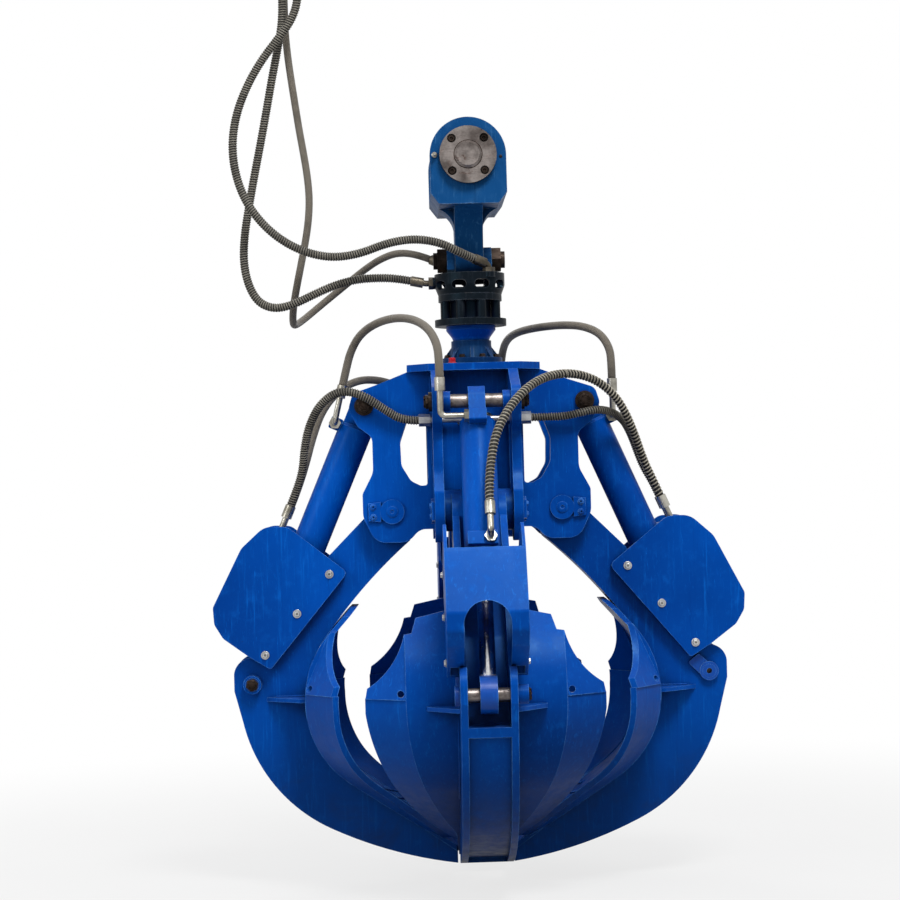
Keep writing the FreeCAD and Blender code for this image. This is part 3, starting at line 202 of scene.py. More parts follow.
# Dust, grime, painted shade and a painted ground reflection, and the heights in metres below which the muddy
# ground reflection and the painted shade lie on the jaw

DUST, MUD_AND_GROUND_REFLECTION, LOW_SHADE_BLUE = srgb(96, 104, 118), srgb(44, 46, 62), srgb(0, 30, 78)
CORNER_SHADE_AND_GRIME, STEEL_SHADE_AND_GRIME = srgb(4, 12, 34), srgb(24, 20, 18)
LOW_SHADE_TOP, MUD_AND_REFLECTION_TOP, JAW_FOOT = -1.42, -1.70, -1.95


def painted(shade, deep, mid, worn, rim, bare, roughness=0.34, chips=0.4, dust=0.16):
    """Colour and roughness of sprayed paint: uneven, streaked, chipped and dusty, with a painted highlight on
    worn edges, painted shade in corners and low down, and a painted ground reflection, partly muddy, near the
    bottom.
    """
    mottle = shade.noise(26, 8, 0.65)
    colour = shade.mix(shade.step(shade.noise(1.6, 3, 0.5), 0.25, 0.75), deep, mid)
    colour = shade.mix(shade.step(mottle, 0.5, 0.85, 0, 0.4), colour, worn)
    for stretch, detail, fineness, bend, low, high, strength, tone in (
        ((95, 95, 6), 6, 0.7, 0.4, 0.54, 0.72, 0.5, worn),  # streaks
        ((60, 60, 3), 5, 0.65, 0.3, 0.56, 0.74, 0.4, deep),  # runs
        ((420, 60, 30), 2, 0.5, 1.2, 0.67, 0.72, 0.6, worn),  # scratches
    ):
        lines = shade.noise(1.0, detail, fineness, shade.scaled(*stretch), bend)
        colour = shade.mix(shade.step(lines, low, high, 0, strength), colour, tone)

    grime = shade.noise(5, 6, 0.7, None, 0.6)
    settled = shade.times(shade.step(shade.upward(), 0.3, 0.95), shade.step(grime, 0.4, 0.75, 0.1, 1))
    colour = shade.mix(shade.times(settled, dust), colour, DUST)
    # Painted reflection of the ground, partly muddy, on the lowest part of the jaw.
    mud_and_reflection = shade.times(shade.step(shade.level(), MUD_AND_REFLECTION_TOP, JAW_FOOT), shade.step(grime, 0.42, 0.68, 0.1, 0.55))
    colour = shade.mix(mud_and_reflection, colour, MUD_AND_GROUND_REFLECTION)
    # Painted shade: the paint turns darker towards the bottom of the jaw.
    colour = shade.mix(shade.step(shade.level(), LOW_SHADE_TOP, JAW_FOOT, 0, 0.5), colour, LOW_SHADE_BLUE)
    # Painted shade, partly grime: ambient occlusion darkens the paint in corners and between plates.
    corner = shade.times(shade.hollows(0.09), shade.step(mottle, 0.3, 0.6, 0.6, 1))
    colour = shade.mix(shade.times(corner, 0.85), colour, CORNER_SHADE_AND_GRIME)

    edge = shade.edges(0.0035)
    # Painted highlight, partly worn paint: sharp edges take the lighter edge tone.
    pale = shade.times(shade.step(edge, 0.02, 0.2, 0, 0.6), shade.step(mottle, 0.3, 0.6))
    colour = shade.mix(pale, colour, rim)
    worn_edge = shade.times(edge, shade.step(shade.noise(34, 6, 0.7), 0.5, 0.64))
    spots = shade.step(shade.noise(75, 5, 0.7), 0.725, 0.74)
    chip = shade.times(shade.math("MAXIMUM", shade.step(worn_edge, 0.06, 0.14), spots), chips)
    colour = shade.mix(chip, colour, bare)

    rough = shade.step(mottle, 0.3, 0.8, roughness - 0.06, roughness + 0.16)
    rough = shade.math("ADD", rough, shade.times(settled, 0.3))
    shade.height(shade.noise(160, 5, 0.6), 0.10, 0.0006)
    shade.height(chip, -0.25, 0.0006)
    shade.height(shade.noise(9, 3, 0.5), 0.3, 0.003)
    return colour, rough


def bare_steel(shade, bright, dark, rust, roughness, rusting=0.4, grain=(60, 60, 260)):
    """Colour and roughness of bare steel with fine grain, stains, some rust, and grime with painted shade in
    corners.
    """
    grainy = shade.noise(1.0, 5, 0.6, shade.scaled(*grain))
    cloud = shade.noise(14, 6, 0.65)
    colour = shade.mix(shade.step(cloud, 0.35, 0.7), bright, dark)
    colour = shade.mix(shade.step(grainy, 0.45, 0.75, 0, 0.5), colour, dark)
    stain = shade.step(shade.noise(38, 7, 0.7, None, 0.8), 0.54, 0.7, 0, rusting)
    colour = shade.mix(stain, colour, rust)
    # Painted shade, partly grime: ambient occlusion darkens creases and gaps.
    colour = shade.mix(shade.times(shade.hollows(0.012), 0.85), colour, STEEL_SHADE_AND_GRIME)
    rough = shade.math("ADD", shade.step(grainy, 0.2, 0.8, roughness - 0.08, roughness + 0.12), stain)
    shade.height(grainy, 0.12, 0.0004)
    shade.height(stain, 0.2, 0.0004)
    return colour, rough


# Reflections of the paints, tinted as under a blue sky

PAINT_GLOSS = {"IOR": 1.45, "Specular_IOR_Level": 0.16, "Specular_Tint": (0.3, 0.7, 1.0, 1.0)}


def paint(name, *colours, **settings):
    shade = Shade(name, **PAINT_GLOSS)
    colour, rough = painted(shade, *colours, **settings)
    shade.set("Base Color", colour)
    shade.set("Roughness", rough)
    return shade.material


def steel(name, *look):
    shade = Shade(name, Metallic=1.0)
    colour, rough = bare_steel(shade, *look)
    shade.set("Base Color", colour)
    shade.set("Roughness", rough)
    return shade.material


def half_painted(name, metal, paint_colours, mask):
    """Bare steel where mask is 0 and paint where it is 1."""
    shade = Shade(name, IOR=1.45, Specular_IOR_Level=0.3)
    steel_colour, steel_rough = bare_steel(shade, *metal)
    paint_colour, paint_rough = painted(shade, *paint_colours)
    where = mask(shade)
    elsewhere = shade.math("SUBTRACT", 1.0, where)
    rough = shade.math("ADD", shade.times(where, paint_rough), shade.times(elsewhere, steel_rough))
    shade.set("Base Color", shade.mix(where, steel_colour, paint_colour))
    shade.set("Roughness", rough)
    shade.set("Metallic", elsewhere)
    return shade.material


def two_paints(name, first, second, mask):
    """The first paint where mask is 0, the second where it is 1."""
    shade = Shade(name, **PAINT_GLOSS)
    (colour_a, rough), (colour_b, _) = painted(shade, *first), painted(shade, *second)
    shade.set("Base Color", shade.mix(mask(shade), colour_a, colour_b))
    shade.set("Roughness", rough)
    return shade.material


# Paints: deep, middle, worn, edge (a painted highlight, partly worn paint) and bare tone
# Steels: bright, dark and rust tone, then roughness, rusting and the stretch of the grain

RUST = srgb(80, 48, 32)
RED = (srgb(150, 14, 20), srgb(196, 28, 34), srgb(214, 70, 72), srgb(236, 120, 120), srgb(90, 20, 22))
BLUE = (srgb(0, 54, 134), srgb(0, 76, 172), srgb(10, 104, 204), srgb(96, 160, 230), srgb(50, 52, 62))
YOKE_BLUE = (srgb(2, 40, 84), srgb(14, 66, 118), srgb(52, 100, 146), srgb(136, 168, 196), srgb(70, 64, 60))
BLACK = (srgb(8, 9, 12), srgb(18, 20, 25), srgb(46, 49, 56), srgb(84, 90, 100), srgb(84, 74, 66))
STOOL_BLUE = (srgb(4, 34, 72), srgb(12, 54, 104), srgb(36, 80, 130), srgb(90, 124, 166), srgb(64, 56, 52))
DARK = (srgb(66, 56, 50), srgb(30, 26, 24), srgb(58, 38, 28), 0.5, 0.7)
PIN = (srgb(150, 142, 138), srgb(84, 77, 74), RUST, 0.40, 0.55)
CHROME = (srgb(225, 226, 228), srgb(150, 152, 158), srgb(60, 52, 46), 0.14, 0.12, (300, 300, 20))

blue_paint = paint("blue_paint", *BLUE)
yoke_paint = paint("yoke_paint", *YOKE_BLUE, roughness=0.42, chips=0.8, dust=0.4)
stool_paint = paint("stool_paint", *STOOL_BLUE, roughness=0.40, chips=0.6, dust=0.5)
black_paint = paint("black_paint", *BLACK, roughness=0.38, chips=0.5, dust=0.35)
pin_steel = steel("pin_steel", *PIN)
dark_steel = steel("dark_steel", *DARK)
bolt_steel = steel("bolt_steel", srgb(222, 222, 220), srgb(160, 160, 160), RUST, 0.38, 0.15)
zinc = steel("zinc_plate", srgb(208, 205, 194), srgb(132, 128, 116), RUST, 0.32, 0.3, (40, 40, 40))
worn_zinc = steel("worn_zinc", srgb(120, 112, 98), srgb(58, 54, 48), srgb(50, 40, 32), 0.42, 0.5, (40, 40, 40))
chrome = steel("chromed_rod", *CHROME)
wear_steel = steel("wear_steel", srgb(110, 106, 102), srgb(52, 50, 48), RUST, 0.45, 0.6)
red_plastic = paint("red_plastic", *RED)


def rubber(name, base, dusty, roughness=0.62):
    shade = Shade(name, Specular_IOR_Level=0.35)
    cloud = shade.noise(16, 6, 0.65)
    colour = shade.mix(shade.step(cloud, 0.4, 0.7, 0, 0.8), base, dusty)
    shade.set("Base Color", colour)
    shade.set("Roughness", shade.step(cloud, 0.3, 0.8, roughness - 0.1, roughness + 0.15))
    shade.height(shade.noise(420, 3, 0.5), 0.15, 0.0003)
    return shade.material


def sleeve(name, light, dark):
    """Woven nylon sleeve: diagonal threads over and under, in the tube's own coordinates."""
    shade = Shade(name, Specular_IOR_Level=0.3, Sheen_Weight=0.25)
    uv = shade.add("ShaderNodeTexCoord").outputs["UV"]
    waves = []
    for lean in (1, -1):
        mapping = shade.add("ShaderNodeMapping")
        shade.link(uv, mapping.inputs["Vector"])
        mapping.inputs["Rotation"].default_value = (0, 0, lean * math.radians(42))
        wave = shade.add("ShaderNodeTexWave", wave_type="BANDS", bands_direction="X")
        shade.link(mapping.outputs[0], wave.inputs["Vector"])
        wave.inputs["Scale"].default_value = 95
        wave.inputs["Distortion"].default_value = 0.6
        waves.append(wave.outputs["Fac"])
    weave = shade.math("MAXIMUM", waves[0], waves[1])
    cloud = shade.noise(11, 6, 0.7)
    colour = shade.mix(shade.step(weave, 0.3, 1.0), dark, light)
    colour = shade.mix(shade.step(cloud, 0.5, 0.75, 0, 0.6), colour, dark)
    shade.set("Base Color", colour)
    shade.set("Roughness", shade.step(cloud, 0.2, 0.8, 0.7, 0.9))
    shade.height(weave, 0.5, 0.0008)
    shade.height(shade.noise(30, 4, 0.6), 0.3, 0.0015)
    return shade.material


black_rubber = rubber("black_rubber", srgb(8, 8, 8), srgb(26, 25, 23))
grey_sleeve = sleeve("grey_sleeve", srgb(112, 105, 94), srgb(46, 42, 37))
pale_wire = rubber("pale_wire", srgb(150, 144, 130), srgb(98, 93, 82), 0.5)
grey_wire = rubber("grey_wire", srgb(112, 108, 98), srgb(70, 67, 60), 0.55)

material_of_slot = {
    "yoke_paint": yoke_paint,
    "blue_paint": blue_paint,
    "black_paint": black_paint,
    "pin_steel": pin_steel,
    "zinc_fitting": zinc,
    "bolt_steel": bolt_steel,
    "chrome_rod": chrome,
    "wear_steel": wear_steel,
    "grey_hose": grey_sleeve,
    "guarded_hose": black_rubber,
}


# Where paint or rust starts on a piece, in metres

PLATE_FACE, FRAME_FACE, ROD_EYE_TOP, EAR_BLUE_FOOT = 0.0776, 0.1262, -1.478, -0.312


def pin_mask(axis):
    """Paint outside the tine's side plates."""
    def mask(shade):
        return shade.step(shade.math("ABSOLUTE", shade.level(axis)), PLATE_FACE, PLATE_FACE + 0.001)
    return mask


def rod_mask(shade):
    """Paint on the rod's eye."""
    return shade.step(shade.level(), ROD_EYE_TOP, ROD_EYE_TOP - 0.006)


def ear_mask(shade):
    """The tops of the bracket's two ears are blue as the yoke."""
    ragged = shade.times(shade.noise(30, 4), 0.02)
    return shade.step(shade.math("ADD", shade.level(), ragged), EAR_BLUE_FOOT, EAR_BLUE_FOOT + 0.004)


def capped_steel(name):
    """Bright between the frame's plates, dark and rusty outside them."""
    shade = Shade(name, Metallic=1.0)
    (inner, inner_rough), (outer, outer_rough) = bare_steel(shade, *PIN), bare_steel(shade, *DARK)
    across = shade.math("ABSOLUTE", shade.level("X"))
    along = shade.math("ABSOLUTE", shade.level("Y"))
    where = shade.step(shade.math("MINIMUM", across, along), FRAME_FACE, FRAME_FACE + 0.0006)
    shade.set("Base Color", shade.mix(where, inner, outer))
    shade.set("Roughness", shade.math("MAXIMUM", inner_rough, shade.times(where, outer_rough)))
    return shade.material


painted_rod = half_painted("painted_rod", CHROME, BLUE, rod_mask)
rod_pin_surface = {
    axis: half_painted(f"rod_pin_{axis.lower()}", PIN, BLUE, pin_mask(axis)) for axis in "XY"
}
bracket_paint = two_paints("bracket_paint", BLACK, YOKE_BLUE, ear_mask)
surface_of_node = {
    "supply_fittings": worn_zinc,
    "stool": stool_paint,
    "cross_pin": dark_steel,
    "rotator_bracket": bracket_paint,
    "cylinder_pins": capped_steel("cylinder_pin_steel"),
}
for side in SIDES:
    surface_of_node[f"{side}_rod"] = painted_rod
    surface_of_node[f"{side}_rod_pin"] = rod_pin_surface["Y" if side in ("right", "left") else "X"]
for entry in frame["record"]["subparts"]:
    surface = surface_of_node.get(entry["node"], material_of_slot[entry["material_slot"]])
    for holder in nodes[entry["node"]].material_slots:
        holder.material = surface


# Building pieces


def make(name, vertices, faces, materials, slots=None, coordinates=None):
    """Smooth mesh object from lists; slots gives each face's material, coordinates each vertex's UV."""
    mesh = bpy.data.meshes.new(name)
    mesh.from_pydata([tuple(v) for v in vertices], [], faces)
    for material in materials:
        mesh.materials.append(material)
    if slots:
        mesh.polygons.foreach_set("material_index", slots)
    if coordinates:
        layer = mesh.uv_layers.new(name="length_and_turn")
        for loop in mesh.loops:
            layer.data[loop.index].uv = coordinates[loop.vertex_index]
    mesh.polygons.foreach_set("use_smooth", [True] * len(faces))
    mesh.update()
    item = bpy.data.objects.new(name, mesh)
    scene.collection.objects.link(item)
    return item


def line_of(points):
    """Points along the NURBS line that a hose's route points control."""
    curve = bpy.data.curves.new("route", "CURVE")
    curve.dimensions = "3D"
    spline = curve.splines.new("NURBS")
    spline.points.add(len(points) - 1)
    for target, point in zip(spline.points, points):
        target.co = (*point, 1)
    spline.order_u = 3
    spline.use_endpoint_u = True
    spline.resolution_u = 16
    holder = bpy.data.objects.new("route", curve)
    scene.collection.objects.link(holder)
    bpy.context.view_layer.update()
    mesh = bpy.data.meshes.new_from_object(holder)
    line = [vertex.co.copy() for vertex in mesh.vertices]
    bpy.data.objects.remove(holder)
    bpy.data.meshes.remove(mesh)
    return line


def length_of(line):
    return sum((b - a).length for a, b in zip(line, line[1:]))


def even(line, step):
    """The same line with points an even distance apart."""
    total = length_of(line)
    count = max(int(round(total / step)), 4)
    wanted = [total * index / count for index in range(count + 1)]
    result, covered, index = [], 0.0, 0
    for place in wanted:
        while index < len(line) - 2 and covered + (line[index + 1] - line[index]).length < place:
            covered += (line[index + 1] - line[index]).length
            index += 1
        run = line[index + 1] - line[index]
        result.append(line[index] + run * min((place - covered) / max(run.length, 1e-9), 1))
    return result


def turned_frames(line):
    """Tangent, side and normal at each point, carried along without twisting."""
    frames = []
    side = None
    for index in range(len(line)):
        ahead = (line[min(index + 1, len(line) - 1)] - line[max(index - 1, 0)]).normalized()
        if side is None:
            side = ahead.orthogonal().normalized()
        side = (side - ahead * side.dot(ahead)).normalized()
        frames.append((ahead, side, ahead.cross(side)))
    return frames


def tube_parts(line, radius, sides=18):
    """Vertices, faces and coordinates of a tube with closed ends."""
    vertices, faces, coordinates = [], [], []
    covered = 0.0
    for index, (point, (_, side, normal)) in enumerate(zip(line, turned_frames(line))):
        if index:
            covered += (point - line[index - 1]).length
        for turn in range(sides):
            angle = 2 * math.pi * turn / sides
            vertices.append(point + (side * math.cos(angle) + normal * math.sin(angle)) * radius)
            around = abs(turn / sides - 0.5) * 2
            coordinates.append((covered, around * math.pi * radius))
    for ring in range(len(line) - 1):
        for turn in range(sides):
            a, b = ring * sides + turn, ring * sides + (turn + 1) % sides
            faces.append((a, b, b + sides, a + sides))
    last = (len(line) - 1) * sides
    faces.append(tuple(reversed(range(sides))))
    faces.append(tuple(range(last, last + sides)))
    return vertices, faces, coordinates


def coil_parts(line, radius, wide, thick, pitch, sides=14):
    """Vertices and faces of a flat wire wound round a line."""
    fine = even(line, pitch / sides)
    vertices, faces = [], []
    for index, (point, (ahead, side, normal)) in enumerate(zip(fine, turned_frames(fine))):
        angle = 2 * math.pi * index / sides
        out = side * math.cos(angle) + normal * math.sin(angle)
        for along, lift in ((-1, 0), (-0.6, 1), (0.6, 1), (1, 0)):
            vertices.append(point + out * (radius + lift * thick) + ahead * along * wide / 2)
    for ring in range(len(fine) - 1):
        for corner in range(4):
            a, b = ring * 4 + corner, ring * 4 + (corner + 1) % 4
            faces.append((a, b, b + 4, a + 4))
    last = (len(fine) - 1) * 4
    faces.append((3, 2, 1, 0))
    faces.append((last, last + 1, last + 2, last + 3))
    return vertices, faces


SUNK = 0.0004


def hose_mesh(name, line, style):
    """Hose along a line: a woven sleeve, or rubber with a guard wound round it, sunk in it a little."""
    inner = style["radius"] - style.get("thick", 0)
    vertices, faces, coordinates = tube_parts(even(line, 0.006), inner)
    materials, slots = [style["surface"]], [0] * len(faces)
    if "pitch" in style:
        more, extra = coil_parts(line, inner - SUNK, style["wide"], style["thick"] + SUNK, style["pitch"])
        base = len(vertices)
        faces += [tuple(base + corner for corner in face) for face in extra]
        coordinates += [(0.0, 0.0)] * len(more)
        vertices += more
        materials.append(style["wire"])
        slots += [1] * len(extra)
    return make(name, vertices, faces, materials, slots, coordinates)


STRAIGHT = 46


def points_of(start, out, route, end, back):
    """Route points in metres from millimetres, with a straight run along the fitting at both ends."""
    start, end = Vector(start), Vector(end)
    first = start + Vector(out).normalized() * STRAIGHT
    last = end + Vector(back).normalized() * STRAIGHT
    return [point * MM for point in (start, first, *[Vector(p) for p in route], last, end)]


sleeve_style = {"radius": 0.012, "surface": grey_sleeve}
guarded = {"radius": 0.013, "surface": black_rubber, "wide": 0.0044}
coarse_guard = dict(guarded, wire=pale_wire, thick=0.0022, pitch=0.0114)
fine_guard = dict(guarded, wire=grey_wire, thick=0.0018, pitch=0.0074)

# Ports in millimetres, and the directions in which the hoses leave them

UP, DOWN = (0, 0, 1), (0, 0, -1)
BASE = {
    "right": (414.4, -58, -657.3), "left": (-387.4, -58, -657.3),
    "front": (-105, -414.4, -657.3), "back": (105, 414.4, -657.3),
}
ROD = {
    "right_front": (553.7, -22, -1011), "right_back": (553.7, 22, -1011), "left_front": (-553.7, -22, -1011),
    "left_back": (-553.7, 22, -1011), "front": (22, -553.7, -1011), "back": (-22, 553.7, -1011),
}
TO_RIGHT, TO_LEFT = (-0.3973, 0, 0.9177), (0.3973, 0, 0.9177)
TO_FRONT, TO_BACK = (0, 0.3973, 0.9177), (0, -0.3973, 0.9177)

moving_hoses = {
    "left_to_front_base_hose": (
        points_of(BASE["left"], (0.238, 0, 0.971), [
            (-362, -66, -560), (-334, -90, -512), (-288, -134, -482), (-230, -198, -470),
            (-174, -268, -480), (-132, -338, -512), (-109, -392, -560),
        ], BASE["front"], UP), sleeve_style, "left_cylinder", "front_cylinder"),
    "right_to_back_base_hose": (
        points_of(BASE["right"], UP, [
            (411, -52, -566), (386, -28, -520), (338, 16, -494), (282, 68, -486), (226, 122, -486),
            (176, 180, -490), (144, 240, -497), (124, 302, -509), (113, 366, -530), (107, 402, -566),
        ], BASE["back"], UP), sleeve_style, "right_cylinder", "back_cylinder"),
    "front_to_right_rod_hose": (
        points_of(ROD["front"], TO_FRONT, [
            (30, -502, -900), (44, -474, -832), (72, -438, -774), (112, -400, -721), (162, -348, -678),
            (222, -286, -652), (292, -232, -647), (360, -188, -668), (416, -152, -714), (452, -120, -774),
            (478, -84, -836), (505, -46, -908),
        ], ROD["right_front"], TO_RIGHT), coarse_guard, "front_cylinder", "right_cylinder"),
    "manifold_to_left_rod_hose": (
        points_of((-165, -150, -770), (-1, 0, 0), [
            (-265, -154, -736), (-325, -163, -692), (-392, -152, -674), (-450, -120, -708),
            (-488, -88, -770), (-506, -60, -840), (-514, -36, -910),
        ], ROD["left_front"], TO_LEFT), fine_guard, "turning_frame", "left_cylinder"),
    "manifold_to_right_rod_hose": (
        points_of((165, -150, -770), (1, 0, 0), [
            (262, -156, -770), (312, -160, -760), (360, -148, -751), (404, -114, -757),
            (442, -72, -780), (468, -28, -820), (490, 6, -875), (508, 20, -922),
        ], ROD["right_back"], TO_RIGHT), dict(fine_guard, radius=0.012), "turning_frame", "right_cylinder"),
    "back_to_left_rod_hose": (
        points_of(ROD["back"], TO_BACK, [
            (-30, 500, -900), (-48, 468, -832), (-82, 430, -770), (-128, 392, -718), (-178, 336, -674),
            (-234, 266, -644), (-294, 200, -630), (-350, 150, -634), (-406, 106, -666), (-455, 72, -725),
            (-485, 50, -805), (-508, 32, -890),
        ], ROD["left_back"], TO_LEFT), sleeve_style, "back_cylinder", "left_cylinder"),
}


def cord_piece(name, line, style, replaced):
    """One stretch of hose between two bodies, as a fixed mesh in place of the model's hose part, which is
    hidden.
    """
    piece = hose_mesh(name, line, style)
    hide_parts(replaced)
    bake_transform(piece)
    even(line, 0.004)


for name, (points, style, first, second) in moving_hoses.items():
    line = line_of(points)
    if first == "turning_frame":
        cord_piece(f"{name}_run", line, style, name)
    else:
        half = len(line) // 2
        cord_piece(f"{name}_first_half", line[half::-1], style, name)
        cord_piece(f"{name}_second_half", line[half:], style, name)

supply_hoses = {
    "outer_supply_hose": (
        points_of((13, -103, -295), (-0.823, -0.478, 0.306), [
            (-78, -134, -252), (-130, -128, -238), (-185, -116, -234), (-250, -100, -244), (-325, -84, -270),
            (-405, -72, -279), (-482, -63, -262), (-554, -55, -224), (-614, -48, -170), (-662, -40, -100),
            (-690, -33, -18), (-698, -25, 70), (-684, -16, 160), (-650, -12, 245), (-605, -14, 320),
            (-552, -16, 385), (-508, -16, 442),
        ], (-488, -16, 550), DOWN), fine_guard),
    "inner_supply_hose": (
        points_of((-176, 0, -347), (-44, 0, 9), [
            (-280, -6, -336), (-340, -20, -340), (-405, -28, -357), (-465, -30, -382), (-525, -26, -410),
            (-583, -14, -422), (-632, 2, -402), (-662, 12, -350), (-676, 20, -280), (-672, 28, -200),
            (-656, 34, -110), (-637, 38, -15), (-616, 38, 80), (-596, 36, 175), (-577, 34, 270),
            (-557, 32, 360), (-541, 30, 440),
        ], (-538, 30, 550), DOWN), fine_guard),
    "rear_supply_hose": (
        points_of((-113, 89, -276), (-53, 19, 24), [
            (-213, 132, -247), (-268, 165, -263), (-320, 202, -293), (-370, 240, -328), (-417, 262, -362),
            (-463, 262, -398), (-502, 236, -432), (-528, 190, -455), (-537, 133, -462), (-536, 79, -441),
            (-529, 38, -400), (-517, 19, -347), (-504, 16, -290), (-490, 16, -227), (-478, 18, -160),
            (-473, 24, -90), (-478, 32, -20), (-488, 42, 50), (-500, 52, 125), (-510, 60, 200),
            (-520, 67, 275), (-529, 74, 350), (-535, 78, 430),
        ], (-535, 79, 550), DOWN), dict(sleeve_style, radius=0.011)),
}

for name, (points, style) in supply_hoses.items():
    line = line_of(points)
    piece = hose_mesh(f"{name}_run", line, style)
    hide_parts(name)
    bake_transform(piece)
    even(line, 0.004)


# Bolts, nuts, keeper plates and weld beads; what every side has is drawn on the right and turned to the others


def arms_of(out):
    """Unit axis and two directions across it."""
    axis = Vector(out).normalized()
    first = Vector((0, 0, 1)) if abs(axis.z) < 0.9 else Vector((1, 0, 0))
    return axis, first, axis.cross(first)


class Pile:
    """Closed shapes gathered into one mesh, given in millimetres and kept in metres."""

    def __init__(self):
        self.vertices, self.faces = [], []

    def rings(self, rings):
        """Skin over rings of equal count, with flat ends."""
        base, sides = len(self.vertices), len(rings[0])
        for ring in rings:
            self.vertices += ring
        for row in range(len(rings) - 1):
            for turn in range(sides):
                a, b = base + row * sides + turn, base + row * sides + (turn + 1) % sides
                self.faces.append((a, b, b + sides, a + sides))
        last = base + (len(rings) - 1) * sides
        self.faces.append(tuple(reversed(range(base, base + sides))))
        self.faces.append(tuple(range(last, last + sides)))

    def spin(self, centre, out, profile, sides=24, start=0.0):
        """Profile of (radius, height) pairs, turned about out."""
        axis, first, second = arms_of(out)
        rings = []
        for radius, height in profile:
            ring = []
            for turn in range(sides):
                angle = 2 * math.pi * turn / sides + start
                arm = first * math.cos(angle) + second * math.sin(angle)
                ring.append((Vector(centre) + axis * height + arm * radius) * MM)
            rings.append(ring)
        self.rings(rings)

    def bolt(self, centre, out, washer=12.5, head=9.0, tall=6.0):
        """Washer and hexagon head with a turned top."""
        turn = random.uniform(0, 1)
        self.spin(centre, out, [(washer - 0.5, -1), (washer, 0.3), (washer, 1.9), (washer - 0.6, 2.4)], 28)
        hexagon = [(head, 2), (head, tall), (head * 0.84, tall + 1.2), (3.6, tall + 1.2), (3.2, tall - 2.5)]
        self.spin(centre, out, hexagon, 6, turn)

    def castle_nut(self, centre, out, radius, tall):
        """Hexagon nut with a slotted crown and the pin's end inside it."""
        turn = random.uniform(0, 1)
        body = [(radius - 1, -1), (radius, 1), (radius, tall * 0.6), (radius * 0.86, tall * 0.68)]
        self.spin(centre, out, body, 6, turn)
        self.spin(centre, out, [(radius * 0.5, 0), (radius * 0.5, tall * 0.95), (radius * 0.42, tall)], 20)
        axis, first, second = arms_of(out)
        for tooth in range(6):
            angle = math.pi * tooth / 3 + turn
            rings = []
            for height, shrink in ((tall * 0.6, 0), (tall * 0.92, 0), (tall, 1.2)):
                ring = []
                for reach, lean in ((0.56, -0.3), (0.84, -0.3), (0.84, 0.3), (0.56, 0.3)):
                    arm = first * math.cos(angle + lean) + second * math.sin(angle + lean)
                    length = radius * reach - shrink * (reach > 0.6)
                    ring.append((Vector(centre) + axis * height + arm * length) * MM)
                rings.append(ring)
            self.rings(rings)

    def plate(self, corners, out, thick, bevel=1.2):
        """Flat plate on the corners given, standing out from them."""
        axis = Vector(out).normalized()
        points = [Vector(corner) for corner in corners]
        middle = sum(points, Vector()) / len(points)
        rings = []
        for height, inset in ((-1, 0), (thick - bevel, 0), (thick, bevel)):
            rings.append([(p + axis * height + (middle - p).normalized() * inset) * MM for p in points])
        self.rings(rings)

    def bead(self, points, radius):
        """Weld bead: a rippled rod, half sunk in the corner it fills."""
        line = even([Vector(point) * MM for point in points], 0.0022)
        rings = []
        for index, (point, (_, side, normal)) in enumerate(zip(line, turned_frames(line))):
            swell = 1 + 0.13 * math.sin(index * 1.7) + random.uniform(-0.06, 0.06)
            reach = radius * MM * swell * (0.5 if index in (0, len(line) - 1) else 1)
            ring = []
            for turn in range(8):
                angle = 2 * math.pi * turn / 8
                ring.append(point + (side * math.cos(angle) + normal * math.sin(angle)) * reach)
            rings.append(ring)
        self.rings(rings)

    def piece(self, name, body, material, slot, quarter=0, sharp=35):
        """Mesh object of the pile, turned a number of degrees about the vertical axis, riding a body."""
        mesh_piece = make(name, self.vertices, self.faces, [material])
        mesh_piece.data.transform(Matrix.Rotation(math.radians(quarter), 4, "Z"))
        mesh_piece.data.set_sharp_from_angle(angle=math.radians(sharp))
        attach(mesh_piece, body)


# Measures of the solids in millimetres: (x, z) points on the right-hand side, then faces at +-y or z

GUARD_BOLTS = [(441, -1215), (539, -1329), (636, -1448)]
PIVOT, CYLINDER_PIN, ROD_PIN, SHELL = (250.5, -1036), (325.5, -723), (677, -1535), (215, -1583)
SHELL_RADIUS, SPINE_SIDE, GUARD_SIDE, ROD_LUG_SIDE = 304.5, 80, 111, 107.5
FRAME_SIDE, SEAM_SIDE, KEEPER_TOP, COLLAR_TOP = 127.2, 128.5, 136, 137
CHEEK_SIDE, RING_SIDE, PIN_END = 188, 199, 208
STOOL_FLANGE_TOP, TOP_PLATE_TOP = -584.3, -606.3


def shell_line(lateral, start, stop):
    """Points where the spine meets the shell, between two angles."""
    angles = [math.radians(start + (stop - start) * step / 24) for step in range(25)]
    arcs = [(SHELL_RADIUS * math.cos(angle), SHELL_RADIUS * math.sin(angle)) for angle in angles]
    return [(SHELL[0] + x, lateral, SHELL[1] + z) for x, z in arcs]


